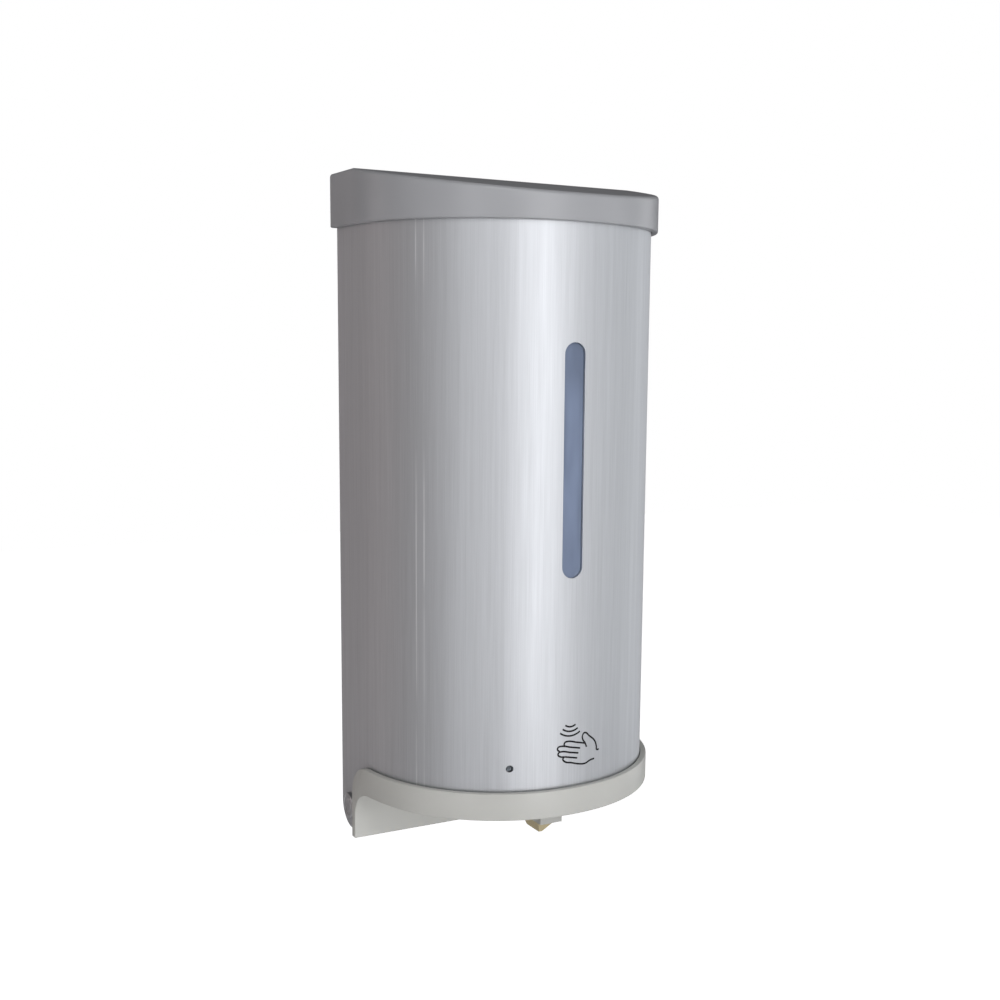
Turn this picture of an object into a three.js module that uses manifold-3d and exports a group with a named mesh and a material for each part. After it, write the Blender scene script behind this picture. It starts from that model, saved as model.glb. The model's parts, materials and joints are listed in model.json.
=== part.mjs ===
// Touch-free soap dispenser for a wall, as an assembly of separate pieces.
// Millimetres. X runs across, the wall is the plane Y = 0, the front looks along -Y, Z is up.
// Heights below are measured from the lower edge of the bezel's wings; the last lines move the
// assembly so that the origin lies in the middle of the face that rests on the wall.

import * as THREE from 'three';
import { mergeVertices } from 'three/addons/utils/BufferGeometryUtils.js';
import Module from 'manifold-3d';

const wasm = await Module();
wasm.setup();

// ---------------------------------------------------------------- driving dimensions

// Cover: plan outline
const bodyWidth = 124;            // across the steel sides
const sideDepth = 24.3;           // straight part of each side, from the wall
const frontBulge = 65.8;          // the curved front, ahead of the straight sides
const frontSquareness = 2.08;     // 2 is a plain ellipse, more is squarer
const wallClearance = 1;          // between the cover's rear edges and the wall
const steelThickness = 1;
const overhang = 2.8;             // cap and bezel stand proud of the steel
const fit = 0.3;                  // gap between pieces that touch
const frontSteps = 36;            // straight steps round the front
const over = 1;                   // a cut runs this far past the face it opens, and joined
                                  // bodies run this far into each other

// Cover: heights
const totalHeight = 275;
const capSkirt = 21.5;            // height of the cap's side
const roofSlope = 0.162;          // fall of the roof for each millimetre towards the front
const capWall = 2.5;
const steelTuck = 4.5;            // steel that goes up inside the cap
const bandBottom = 22;
const bandHeight = 11;
const floorThickness = 2.2;
const openingCorner = 4;

// Bezel: side wing and coved rear edge, seen from the side
const wingRear = 19;              // wing's rear edge to the wall
const wingRadius = 15;            // band's top edge turning down into the wing
const coveFront = 22.5;           // front face of the coved wall to the wall
const coveRadius = 13.5;

// Hinge at the lower rear corners
const hingeHeight = 11;
const sideCorner = 10;            // round corner of the steel sides, about the hinge
const pinRadius = 2.5;
const pinHeadRadius = 5.4;
const pinHeadThickness = 1.3;
const pinPastLug = 1.5;

// Level window, indicator hole
const windowWidth = 9;
const windowBottom = 117.3;
const windowLength = 91.3;
const lensThickness = 1.5;
const lensLap = 4;                // lens beyond the slot, all round
const indicatorX = -24.4;
const indicatorHeight = 42.4;
const indicatorRadius = 1.4;
const indicatorRecess = 0.6;
const indicatorFlange = 2.3;      // from the steel's outer face to the light guide's flange

// Lock on the flat of the cap
const lockToWall = 13;
const lockRadius = 6;
const lockFlange = 7.5;
const flangeRecess = 1.2;
const lockDepth = 21;             // from the cap's flat to the underside of the cam
const lockCamReach = 10.5;
const lockCamWidth = 6;
const lockCamThickness = 2.5;
const lockCamHub = 4;
const lockScrewLength = 7;
const keySlotLength = 7;
const keySlotWidth = 1.6;
const keySlotDepth = 4;

// Catch on the back plate, for the lock's cam
const catchX = 4.8;
const catchWidth = 8;
const catchSheet = 1.6;
const catchFoot = 16;
const catchBelowCam = 4;

// Back plate
const plateThickness = 3;
const plateSideGap = 4;           // between the plate's edges and the steel
const plateBottom = 17;
const plateBelowSkirt = 7.5;
const plateCorner = 5;
const ribDepth = 6;               // the stiffening ribs stand this far from the wall
const ribThickness = 2;
const lugGap = 3;                 // between the hinge lugs and the steel
const lugThickness = 6;
const lugRadius = 5.5;
const wallHoleRadius = 2.6;
const wallHoleX = 38;
const wallHoleFromTop = 22;
const wallHoleFromBottom = 85;

// Bezel's side screws
const bezelScrewRadius = 0.95;
const bezelScrewHead = 2.2;
const bezelScrewReach = 12;       // ahead of the straight sides

// Soap tank
const tankBelowSkirt = 38.5;
const tankAboveHousing = 3;
const tankGap = 6;                // between the tank and the steel's outer face
const tankWall = 2;
const neckY = -40;
const neckRadius = 15;
const neckWall = 2;
const neckHeight = 5;
const lidOverlap = 1.5;
const lidThickness = 2.6;
const lidPinRadius = 1.2;
const lidTabHalf = 8;
const plugGap = 2.2;              // between the lid's plug and the neck
const plugDepth = 3.2;
const lidWall = 1.8;
const lidBarrelRadius = 2;
const gripReach = 4;
const gripHalf = 5;
const sealThickness = 1.2;
const sealHeight = 1.6;
const sealFit = 0.2;
const earThickness = 3;
const earHalf = 2.4;
const spigotRadius = 5;
const spigotLength = 4;
const hoseY = -18;                // outlet of the tank
const hoseRadius = 3.5;
const hoseBore = 2;

// Housing of the drive
const innerToWall = 6.5;          // rear faces of the tank and of the housing
const housingGap = 6;             // between the housing and the steel's outer face
const housingWall = 2;
const baseThickness = 2;
const baseAboveFloor = 3.8;
const bossRadius = 3.2;
const bossInset = 11;             // from the steel to the middle of a rear boss
const bossToWall = 11.5;
const screwRadius = 1.2;
const screwHeadRadius = 2.4;
const screwHeadHeight = 1.6;
const screwLength = 11;

// Batteries
const cellRadius = 7.1;
const cellHeight = 49;
const cellCount = 4;
const cellAboveBase = 5;
const roomAboveCells = 8;
const cellSpacing = 0.8;          // between neighbouring cells
const cellAheadOfBoss = 3.6;      // between the first cell and the housing's rear boss
const trayRoom = 2.2;             // the tray's pocket is this much deeper than a cell
const trayWall = 1.5;
const springRadius = 4;
const springWire = 0.45;
const springHeight = 2.4;
const springTurns = 1.75;
const springTaper = 1.2;
const cellGap = 0.7;              // between the cells and the housing's wall
const cellNubRadius = 2.7;
const cellNubHeight = 1;
const doorFromCell = 3;           // the door's lower edge above the cell's lower end
const doorHeight = 44;
const doorPastCell = 0.5;         // the door's right edge beyond the middle of the last cell
const doorRear = -32;
const doorGripX = 20;             // from the door's right edge to the finger grip
const doorGripProud = 1.2;
const doorGripHeight = 4;

// Pump and gears
const rotorTeeth = 10;
const rotorModule = 1.5;
const rotorThickness = 8;
const pumpWall = 3;
const pumpFloor = 4;
const pumpCoverThickness = 2.5;
const pumpY = -40;
const inletStub = 3;
const outletStub = 2.5;
const shaftRadius = 2;
const axleRadius = 1.5;
const motorShaftRadius = 1.2;
const motorBossRadius = 3;
const outputHubRadius = 3.6;
const outputHubHeight = 4;
const axlePostRadius = 4;
const axlePostGap = 3.5;          // between the post and the gears
const axleSeat = 8;               // from the base plate to the axle's lower end
const bearingFloor = 1;
const runningFit = 0.1;
const gearModule = 0.8;
const pinionTeeth = 12;
const wheelTeeth = 36;
const wheelThickness = 4;
const gearLevelGap = 1.5;
const pressureAngle = 20;
const addendum = 0.8;             // in modules, as are the next two
const dedendum = 1.15;
const backlash = 0.12;
const gearsAbovePump = 6.3;
const compoundDirection = 40;     // degrees, seen from above, from the pump to the compound gear
const motorDirection = -20;       // degrees, from the compound gear to the motor
const motorRadius = 10;
const motorHeight = 20;
const gearPlateThickness = 2.5;
const gearPlateGap = 3.5;         // between the upper wheel and the gear plate
const postRadius = 3;

// Nozzle and sensor
const nozzleFromFront = 26.1;
const holderRadius = 8;
const holderDrop = 9;             // below the bezel's floor
const holderStep = 2;
const holderLedge = 4;
const holderLedgeHalf = 5;
const holderLedgeHeight = 5;
const tipHeight = 6.2;
const tipLength = 15;
const tipWidth = 8;
const tipChamfer = 4.5;
const tipRise = 4.8;
const slitWidth = 1.6;
const openingHalfWidth = 13;
const openingFromFront = 6.1;
const openingBehindNozzle = 14;
const sensorFromFront = 12.1;
const sensorX = 5;
const eyeRadius = 2.5;
const eyeFlange = 0.8;
const eyeLength = 3;
const eyeProud = 0.4;
const sensorWindowThickness = 1.7;
const sensorWindowHalf = 4;

// Board, light and switch
const boardThickness = 1.6;
const boardToWall = 8;
const boardLeft = -46;
const boardRight = -16;
const boardAboveBase = 8;
const boardHeight = 44;
const chipDepth = 1.4;
const componentDepth = 4;
const boardHolder = 4;
const boardHolderWall = 1.1;
const ledRadius = 1.5;
const ledLength = 5;
const switchBelowRoof = 6;
const switchTravel = 5.2;
const knobWidth = 4;
const knobHalfHeight = 1.4;
const knobProud = 1.4;
const switchBodyHalf = 9;
const switchBodyDepth = 6;
const switchWall = 1.5;

// ---------------------------------------------------------------- worked out from the above

const halfWidth = bodyWidth / 2;
const coverFront = -sideDepth - frontBulge;
const hingeToWall = wallClearance + sideCorner;
const bandTop = bandBottom + bandHeight;
const skirtBottom = totalHeight - capSkirt;
const floorTop = bandBottom + floorThickness;
const steelBottom = hingeHeight - sideCorner;
const lockCamHeight = totalHeight - lockDepth;
const lockTop = totalHeight - fit;
const catchTop = lockCamHeight - catchBelowCam;
const catchLipY = -lockToWall - lockCamWidth / 2 - catchSheet;
const plateTop = skirtBottom - plateBelowSkirt;
const bezelScrewY = -sideDepth - bezelScrewReach;
const bezelScrewHeight = bandTop - bandHeight / 3;
const baseBottom = floorTop + baseAboveFloor;
const baseTop = baseBottom + baseThickness;
const cellBottom = baseTop + cellAboveBase;
const housingTop = cellBottom + cellHeight + roomAboveCells;
const tankBottom = housingTop + tankAboveHousing;
const tankTop = skirtBottom - tankBelowSkirt;
const lidBottom = tankTop + neckHeight + fit;
const lidHingeHeight = lidBottom + lidThickness / 2;
const lidPinX = -neckRadius - neckWall - earHalf - 1.6;
const pitchRotor = rotorModule * rotorTeeth / 2;
const rotorTip = pitchRotor + addendum * rotorModule;
const pitchPinion = gearModule * pinionTeeth / 2;
const pitchWheel = gearModule * wheelTeeth / 2;
const gearCentres = pitchPinion + pitchWheel;
const pumpBottom = baseTop + fit;
const rotorLow = pumpBottom + pumpFloor + fit;
const pumpTop = rotorLow + rotorThickness + fit;
const pumpPortHeight = rotorLow + rotorThickness / 2 - fit;
const pumpReach = rotorTip + pumpWall;
const firstGearLevel = pumpTop + fit + pumpCoverThickness + gearsAbovePump;
const secondGearLevel = firstGearLevel + wheelThickness + gearLevelGap;
const gearPlateBottom = secondGearLevel + wheelThickness + gearPlateGap;
const gearPlateTop = gearPlateBottom + gearPlateThickness;
const motorLow = gearPlateTop + fit;
const pumpAxis = new THREE.Vector2(pitchRotor, pumpY);
const idlerAxis = new THREE.Vector2(-pitchRotor, pumpY);
const compoundAxis = stepFrom(pumpAxis, compoundDirection, gearCentres);
const motorAxis = stepFrom(compoundAxis, motorDirection, gearCentres);
const nozzleY = coverFront + nozzleFromFront;
const sensorY = coverFront + sensorFromFront;
const openingFront = coverFront + openingFromFront;
const openingRear = nozzleY + openingBehindNozzle;
const holderBottom = bandBottom - holderDrop;
const tipTop = holderBottom - fit;
const tipBottom = tipTop - tipHeight;
const doorBottom = cellBottom + doorFromCell;
const doorTop = doorBottom + doorHeight;
const switchHeight = housingTop - switchBelowRoof;
const boardBottom = baseTop + boardAboveBase;
const housingFace = coverFront + housingGap + housingWall;   // inner face, at the middle
const indicatorFace = -sideDepth - frontBulge * frontShare(indicatorX / halfWidth);
const ledFront = indicatorFace + housingGap + housingWall + cellGap - ledLength;
const cellInset = -housingGap - housingWall - cellGap - cellRadius;
const cellAngles = makeCellAngles();
const cellPlaces = cellAngles.map((angle) => frontPoint(angle, cellInset));
const doorRight = cellPlaces.at(-1)[0] + doorPastCell;

// Screws that hold the housing to its floor, and posts that hold the gear plate
const bossPlaces = [
  [halfWidth - bossInset, -bossToWall],
  [bossInset - halfWidth, -bossToWall],
  [motorAxis.x - motorRadius, nozzleY],
];
const postPlaces = [
  [bossPlaces[0][0] - bossRadius - postRadius - over, -bossToWall - 2 * postRadius],
  [pumpAxis.x - pitchWheel - 2 * postRadius, pumpY + pitchWheel + postRadius],
  [compoundAxis.x + 2 * postRadius, compoundAxis.y - pitchWheel - 3.5 * postRadius],
];

function stepFrom(point, degrees, distance) {
  const angle = THREE.MathUtils.degToRad(degrees);
  return new THREE.Vector2(Math.cos(angle), Math.sin(angle)).multiplyScalar(distance).add(point);
}

// ---------------------------------------------------------------- making solids

// A closed mesh with its faces pointing out, as a solid that can be cut and joined.
function toSolid(geometry) {
  geometry.deleteAttribute('normal');
  geometry.deleteAttribute('uv');
  const merged = mergeVertices(geometry);
  const points = merged.getAttribute('position').array;
  const corners = merged.index.array;
  const kept = [];
  let volume = 0;
  for (let i = 0; i < corners.length; i += 3) {
    const [a, b, c] = corners.slice(i, i + 3);
    if (a === b || b === c || c === a) continue;
    kept.push(a, b, c);
    const [p, q, r] = [a, b, c].map((n) => new THREE.Vector3().fromArray(points, 3 * n));
    volume += p.dot(q.cross(r));
  }
  if (volume < 0) kept.reverse();
  return new wasm.Manifold(new wasm.Mesh({
    numProp: 3,
    vertProperties: new Float32Array(points),
    triVerts: new Uint32Array(kept),
  }));
}

const cut = (solid, ...tools) => tools.reduce((left, tool) => left.subtract(tool), solid);
const join = (solid, ...others) => others.reduce((whole, other) => whole.add(other), solid);
const common = (solid, other) => solid.intersect(other);

// A flat outline, given as [x, y] points, as a shape.
function outline(points) {
  return new THREE.Shape(points.map(([x, y]) => new THREE.Vector2(x, y)));
}

// Extrudes a shape drawn in plan between two heights.
function upright(shape, low, high, curveSegments = 16) {
  const geometry = new THREE.ExtrudeGeometry(shape, {
    depth: high - low, bevelEnabled: false, curveSegments,
  });
  return toSolid(geometry.translate(0, 0, low));
}

// Extrudes a shape drawn in side view, as (y, z), between two places across.
function sideways(shape, left, right, curveSegments = 16) {
  const geometry = new THREE.ExtrudeGeometry(shape, {
    depth: right - left, bevelEnabled: false, curveSegments,
  });
  const turn = new THREE.Matrix4().set(0, 0, 1, left, 1, 0, 0, 0, 0, 1, 0, 0, 0, 0, 0, 1);
  return toSolid(geometry.applyMatrix4(turn));
}

// Extrudes a shape drawn in front view, as (x, z), from the nearer y to the farther one.
function frontOn(shape, near, far, curveSegments = 16) {
  const geometry = new THREE.ExtrudeGeometry(shape, {
    depth: far - near, bevelEnabled: false, curveSegments,
  });
  const turn = new THREE.Matrix4().set(1, 0, 0, 0, 0, 0, -1, far, 0, 1, 0, 0, 0, 0, 0, 1);
  return toSolid(geometry.applyMatrix4(turn));
}

function block(x0, x1, y0, y1, z0, z1) {
  const geometry = new THREE.BoxGeometry(x1 - x0, y1 - y0, z1 - z0);
  return toSolid(geometry.translate((x0 + x1) / 2, (y0 + y1) / 2, (z0 + z1) / 2));
}

// A round rod along Z, X or Y.
function rodZ(x, y, radius, low, high, segments = 20) {
  const geometry = new THREE.CylinderGeometry(radius, radius, high - low, segments);
  return toSolid(geometry.rotateX(Math.PI / 2).translate(x, y, (low + high) / 2));
}

function rodX(y, z, radius, left, right, segments = 20) {
  const geometry = new THREE.CylinderGeometry(radius, radius, right - left, segments);
  return toSolid(geometry.rotateZ(Math.PI / 2).translate((left + right) / 2, y, z));
}

function rodY(x, z, radius, near, far, segments = 20) {
  const geometry = new THREE.CylinderGeometry(radius, radius, far - near, segments);
  return toSolid(geometry.translate(x, (near + far) / 2, z));
}

// A body of revolution about a vertical axis, from its closed (radius, height) profile.
function turned(x, y, profile, segments = 20) {
  const points = profile.map(([r, z]) => new THREE.Vector2(r, z));
  const geometry = new THREE.LatheGeometry([...points, points[0].clone()], segments);
  return toSolid(geometry.rotateX(Math.PI / 2).scale(1, -1, 1).translate(x, y, 0));
}

// An upright slot with round ends, in front view.
function slotShape(x, low, high, width) {
  const r = width / 2;
  const shape = new THREE.Shape();
  shape.absarc(x, high - r, r, 0, Math.PI, false);
  shape.absarc(x, low + r, r, Math.PI, 2 * Math.PI, false);
  shape.closePath();
  return shape;
}

function roundedRectangle(left, right, low, high, radius) {
  const shape = new THREE.Shape();
  shape.absarc(right - radius, high - radius, radius, 0, Math.PI / 2, false);
  shape.absarc(left + radius, high - radius, radius, Math.PI / 2, Math.PI, false);
  shape.absarc(left + radius, low + radius, radius, Math.PI, 1.5 * Math.PI, false);
  shape.absarc(right - radius, low + radius, radius, 1.5 * Math.PI, 2 * Math.PI, false);
  shape.closePath();
  return shape;
}

// Two distances from the middle, as places across on the given side, in rising order.
function sided(side, from, to) {
  return [side * from, side * to].sort((a, b) => a - b);
}

// A round hole cut straight in from the front.
function holeFromFront(x, z, radius, rear) {
  return rodY(x, z, radius, coverFront - over, rear, 12);
}

// ---------------------------------------------------------------- plan of the cover

// How far ahead of the straight sides the front stands, as a share of its bulge, and the other
// way round how wide it is: the outline is a superellipse.
function frontShare(share) {
  return (1 - Math.abs(share) ** frontSquareness) ** (1 / frontSquareness);
}

// How far from the middle the steel's outer face stands at a given y.
function steelSideX(y) {
  return halfWidth * frontShare(Math.max(0, (-y - sideDepth) / frontBulge));
}

// A point of the front, by its angle from the left side; grow moves it outwards.
function frontPoint(angle, grow) {
  const power = 2 / frontSquareness;
  const [c, s] = [Math.cos(angle), Math.sin(angle)];
  const across = -Math.sign(c) * Math.abs(c) ** power;
  const ahead = Math.abs(s) ** power;
  const normal = new THREE.Vector2(
    Math.sign(across) * Math.abs(across) ** (frontSquareness - 1) / halfWidth,
    -(ahead ** (frontSquareness - 1)) / frontBulge,
  ).normalize();
  return [
    halfWidth * across + grow * normal.x,
    -sideDepth - frontBulge * ahead + grow * normal.y,
  ];
}

// The outline from the left rear edge round the front to the right rear edge.
function coverPath(grow, rear = -wallClearance) {
  const path = [[-halfWidth - grow, rear]];
  for (let i = 0; i <= frontSteps; i += 1) path.push(frontPoint(Math.PI * i / frontSteps, grow));
  path.push([halfWidth + grow, rear]);
  return path;
}

function filledPlan(grow, rear) {
  return outline(coverPath(grow, rear));
}

// A sheet that follows the cover's outline, between two offsets from the steel's outer face.
function bandPlan(outer, inner, rear) {
  return outline([...coverPath(outer, rear), ...coverPath(inner, rear).reverse()]);
}

// A stretch of that sheet, between two angles round the front. An angle below nothing runs
// back along the straight side.
function arcPlan(outer, inner, from, to, steps = 16) {
  const angles = [...Array(steps + 1).keys()].map((i) => from + (to - from) * i / steps);
  const place = (angle, grow) => (angle < 0
    ? [-halfWidth - grow, -sideDepth - angle * halfWidth] : frontPoint(angle, grow));
  const near = angles.map((angle) => place(angle, outer));
  const far = angles.map((angle) => place(angle, inner));
  return outline([...near, ...far.reverse()]);
}

// Everything above the bezel's coved underside, in side view, moved up and back by a distance.
function aboveCove(lift, top) {
  const front = coverFront - overhang - over;
  const shape = new THREE.Shape();
  shape.moveTo(over, -over);
  shape.lineTo(-coveFront + lift, -over);
  shape.lineTo(-coveFront + lift, bandBottom - coveRadius);
  shape.absarc(-coveFront - coveRadius, bandBottom - coveRadius, coveRadius + lift,
    0, Math.PI / 2, false);
  shape.lineTo(front, bandBottom + lift);
  shape.lineTo(front, top);
  shape.lineTo(over, top);
  shape.closePath();
  return shape;
}

// ---------------------------------------------------------------- materials

function finish(colour, roughness, metalness = 0, opacity = 1) {
  return () => new THREE.MeshStandardMaterial({
    color: colour, roughness, metalness, opacity, transparent: opacity < 1,
  });
}

const finishes = {
  brushedSteel: finish(0xb9bbc0, 0.35, 1),
  capPlastic: finish(0x9b9c9e, 0.45),
  bezelPlastic: finish(0xc3c3be, 0.45),
  tintedPlastic: finish(0x7c879a, 0.15, 0, 0.8),
  innerPlastic: finish(0xd9dad8, 0.5),
  gearPlastic: finish(0xeae8de, 0.4),
  darkPlastic: finish(0x2d2e31, 0.5),
  milkyPlastic: finish(0xe4e8ea, 0.3, 0, 0.6),
  tanRubber: finish(0xc2b48e, 0.6),
  greyRubber: finish(0x4a4b4d, 0.8),
  brightSteel: finish(0xc8c9cb, 0.25, 1),
  brass: finish(0xc2a45c, 0.3, 1),
  cellWrap: finish(0x33363b, 0.35),
  boardGreen: finish(0x2d6b46, 0.5),
  clearResin: finish(0xdde6ee, 0.1, 0, 0.6),
};

const dispenser = new THREE.Group();
dispenser.name = 'soap_dispenser';

function piece(name, solid, makeMaterial) {
  const mesh = solid.getMesh();
  const geometry = new THREE.BufferGeometry();
  geometry.setAttribute('position', new THREE.BufferAttribute(mesh.vertProperties, 3));
  geometry.setIndex(new THREE.BufferAttribute(mesh.triVerts, 1));
  const part = new THREE.Mesh(geometry, makeMaterial());
  part.name = name;
  dispenser.add(part);
}

// ---------------------------------------------------------------- the cover

// One sheet round the front and both sides, shaped below to clear the bezel's floor and cove.
function makeSteelCover() {
  const top = skirtBottom + steelTuck;
  const reach = halfWidth + over;
  const sheet = upright(bandPlan(0, -steelThickness), steelBottom, top);
  const side = new THREE.Shape();
  side.moveTo(-wallClearance, top + over);
  side.lineTo(-wallClearance, hingeHeight);
  side.absarc(-hingeToWall, hingeHeight, sideCorner, 0, -Math.PI / 2, true);
  side.lineTo(coverFront - over, steelBottom);
  side.lineTo(coverFront - over, top + over);
  side.closePath();
  const shaped = common(
    common(sheet, sideways(side, -reach, reach, 10)),
    sideways(aboveCove(floorThickness + fit, top + over), -reach, reach, 10),
  );
  const window = slotShape(0, windowBottom, windowBottom + windowLength, windowWidth);
  return cut(
    shaped,
    frontOn(window, coverFront - over, -sideDepth, 10),
    holeFromFront(indicatorX, indicatorHeight, indicatorRadius, -sideDepth),
    rodX(-hingeToWall, hingeHeight, pinRadius + fit, -reach, reach),
    ...bezelScrewHoles(),
  );
}

// Side view of everything under the cap's roof, lowered by drop: level over the straight
// sides, then falling towards the front.
function underRoof(drop, low, rear) {
  const front = coverFront - overhang - over;
  const top = totalHeight - drop;
  const fall = roofSlope * (-sideDepth - front);
  return outline([[rear, low], [rear, top], [-sideDepth, top], [front, top - fall], [front, low]]);
}

function makeTopCap() {
  const reach = halfWidth + overhang + over;
  const outer = common(
    upright(filledPlan(overhang), skirtBottom, totalHeight),
    sideways(underRoof(0, skirtBottom - over, over), -reach, reach),
  );
  const inner = common(
    upright(filledPlan(fit, over), skirtBottom - over, totalHeight),
    sideways(underRoof(capWall, skirtBottom - over, 2 * over), -reach, reach),
  );
  const lockHole = rodZ(0, -lockToWall, lockRadius + fit, skirtBottom, totalHeight + over);
  const recess = rodZ(0, -lockToWall, lockFlange + fit, totalHeight - flangeRecess,
    totalHeight + over);
  return cut(outer, inner, lockHole, recess);
}

// The bezel: a band whose ends turn down into wings, a flat floor and a coved rear edge.
function makeBottomBezel() {
  const reach = halfWidth + overhang + over;
  const front = coverFront - overhang - over;
  const bendZ = bandBottom - coveRadius;
  const side = new THREE.Shape();
  side.moveTo(-wingRear, 0);
  side.lineTo(-wingRear, bandTop - wingRadius);
  side.absarc(-wingRear - wingRadius, bandTop - wingRadius, wingRadius, 0, Math.PI / 2, false);
  side.lineTo(front, bandTop);
  side.lineTo(front, bandBottom);
  side.lineTo(-coveFront - coveRadius, bandBottom);
  side.absarc(-coveFront - coveRadius, bendZ, coveRadius, Math.PI / 2, 0, true);
  side.lineTo(-coveFront, 0);
  side.closePath();
  const outer = common(
    upright(filledPlan(overhang), 0, bandTop),
    sideways(side, -reach, reach, 10),
  );
  const inner = common(
    upright(filledPlan(fit, over), -over, bandTop + over),
    sideways(aboveCove(floorThickness, bandTop + over), -reach, reach, 10),
  );
  const opening = roundedRectangle(-openingHalfWidth, openingHalfWidth, openingFront,
    openingRear, openingCorner);
  return cut(outer, inner, upright(opening, bandBottom - over, floorTop + over, 4),
    ...bezelScrewHoles());
}

// The bezel is held by a screw through each side of the steel, from the inside.
function bezelScrewHoles() {
  const outer = steelSideX(bezelScrewY) + overhang / 2 + fit;
  const inner = outer - bezelScrewHead - 2 * overhang;
  return [-1, 1].map((side) => rodX(bezelScrewY, bezelScrewHeight, bezelScrewRadius + fit,
    ...sided(side, inner, outer), 12));
}

function makeBezelScrew(side) {
  const seat = steelSideX(bezelScrewY - bezelScrewHead) - steelThickness - fit;
  const tip = steelSideX(bezelScrewY) + overhang / 2;
  return join(
    rodX(bezelScrewY, bezelScrewHeight, bezelScrewRadius, ...sided(side, seat - over, tip), 12),
    rodX(bezelScrewY, bezelScrewHeight, bezelScrewHead,
      ...sided(side, seat - screwHeadHeight, seat), 12),
  );
}

function makeWindowLens() {
  const half = windowWidth / 2 + lensLap;
  const low = windowBottom - lensLap;
  const high = windowBottom + windowLength + lensLap;
  const outer = -steelThickness - fit;
  const sheet = upright(bandPlan(outer, outer - lensThickness), low, high);
  const strip = roundedRectangle(-half, half, low - over, high + over, lensLap / 2);
  return common(sheet, frontOn(strip, coverFront - over, -sideDepth, 3));
}

// A short light guide with a flange behind the steel.
function makeIndicatorLens() {
  const front = indicatorFace + indicatorRecess;
  const flange = indicatorFace + indicatorFlange;
  return join(
    rodY(indicatorX, indicatorHeight, indicatorRadius - fit, front, ledFront - fit, 12),
    rodY(indicatorX, indicatorHeight, indicatorRadius + eyeFlange, flange, flange + over, 12),
  );
}

function makeHingePin(side) {
  const face = halfWidth + fit;
  const inner = halfWidth - steelThickness - lugGap - lugThickness - pinPastLug;
  return join(
    rodX(-hingeToWall, hingeHeight, pinRadius, ...sided(side, inner, face + pinHeadThickness / 2)),
    rodX(-hingeToWall, hingeHeight, pinHeadRadius, ...sided(side, face, face + pinHeadThickness)),
  );
}

// ---------------------------------------------------------------- lock

function makeLockBarrel() {
  const low = lockCamHeight + lockCamThickness + fit;
  const seat = totalHeight - flangeRecess + fit;
  const barrel = turned(0, -lockToWall, [
    [0, low], [lockRadius, low], [lockRadius, seat], [lockFlange, seat], [lockFlange, lockTop],
    [0, lockTop],
  ], 28);
  const keySlot = block(-keySlotWidth / 2, keySlotWidth / 2, -lockToWall - keySlotLength / 2,
    -lockToWall + keySlotLength / 2, lockTop - keySlotDepth, lockTop + over);
  const screwHole = rodZ(0, -lockToWall, screwRadius + fit, low - over,
    lockCamHeight + lockScrewLength + fit, 12);
  return cut(barrel, keySlot, screwHole);
}

// Unlocked, the cam points at the wall; a quarter turn brings it behind the catch.
function makeLockCam() {
  const half = lockCamWidth / 2;
  const tipY = -lockToWall + lockCamReach - half;
  const shape = new THREE.Shape();
  shape.absarc(0, -lockToWall, lockCamHub, Math.PI, 2 * Math.PI, false);
  shape.lineTo(half, tipY);
  shape.absarc(0, tipY, half, 0, Math.PI, false);
  shape.closePath();
  const top = lockCamHeight + lockCamThickness;
  const hole = rodZ(0, -lockToWall, screwRadius + fit, lockCamHeight - over, top + over, 12);
  return cut(upright(shape, lockCamHeight, top, 8), hole);
}

function makeLockScrew() {
  const seat = lockCamHeight - fit;
  return makeScrew([0, -lockToWall], seat - screwHeadHeight, seat, seat + lockScrewLength);
}

// ---------------------------------------------------------------- wall plate

function makeBackPlate() {
  const half = halfWidth - plateSideGap - steelThickness;
  const plate = frontOn(
    roundedRectangle(-half, half, plateBottom, plateTop, plateCorner), -plateThickness, 0, 4);
  const ribs = [-1, 1].map((side) => block(...sided(side, half - ribThickness, half),
    -ribDepth, -over, plateBottom + plateCorner + over, plateTop - plateCorner - over));
  const holes = [];
  for (const x of [-wallHoleX, wallHoleX]) {
    for (const z of [plateBottom + wallHoleFromBottom, plateTop - wallHoleFromTop]) {
      holes.push(rodY(x, z, wallHoleRadius, -plateThickness - over, over, 16));
    }
  }
  return cut(join(plate, ...ribs, ...[-1, 1].map(makeHingeLug)), ...holes, catchScrewHole());
}

// A lug that comes forward from the plate's lower corner and ends round the hinge pin.
function makeHingeLug(side) {
  const shape = new THREE.Shape();
  shape.moveTo(-over, plateBottom + over);
  shape.lineTo(-hingeToWall + lugRadius, hingeHeight);
  shape.absarc(-hingeToWall, hingeHeight, lugRadius, 0, -Math.PI, true);
  shape.lineTo(-hingeToWall - lugRadius, hingeHeight + lugRadius);
  shape.lineTo(-over, baseBottom - over);
  shape.closePath();
  const outer = halfWidth - steelThickness - lugGap;
  const [left, right] = sided(side, outer - lugThickness, outer);
  const hole = rodX(-hingeToWall, hingeHeight, pinRadius + runningFit, left - over, right + over);
  return cut(sideways(shape, left, right, 10), hole);
}

// Catch: an angle bracket on the plate with a lip that the lock's cam turns behind.
function makeLatchCatch() {
  const face = -plateThickness - fit;
  const foot = catchTop - catchSheet - catchFoot;
  const lipTop = lockCamHeight + lockCamThickness;
  const profile = outline([
    [face, foot], [face, catchTop], [catchLipY, catchTop], [catchLipY, lipTop],
    [catchLipY - catchSheet, lipTop], [catchLipY - catchSheet, catchTop - catchSheet],
    [face - catchSheet, catchTop - catchSheet], [face - catchSheet, foot],
  ]);
  return cut(sideways(profile, catchX, catchX + catchWidth), catchScrewHole());
}

const catchScrewPlace = [catchX + catchWidth / 2, catchTop - catchSheet - catchFoot / 2];

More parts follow.
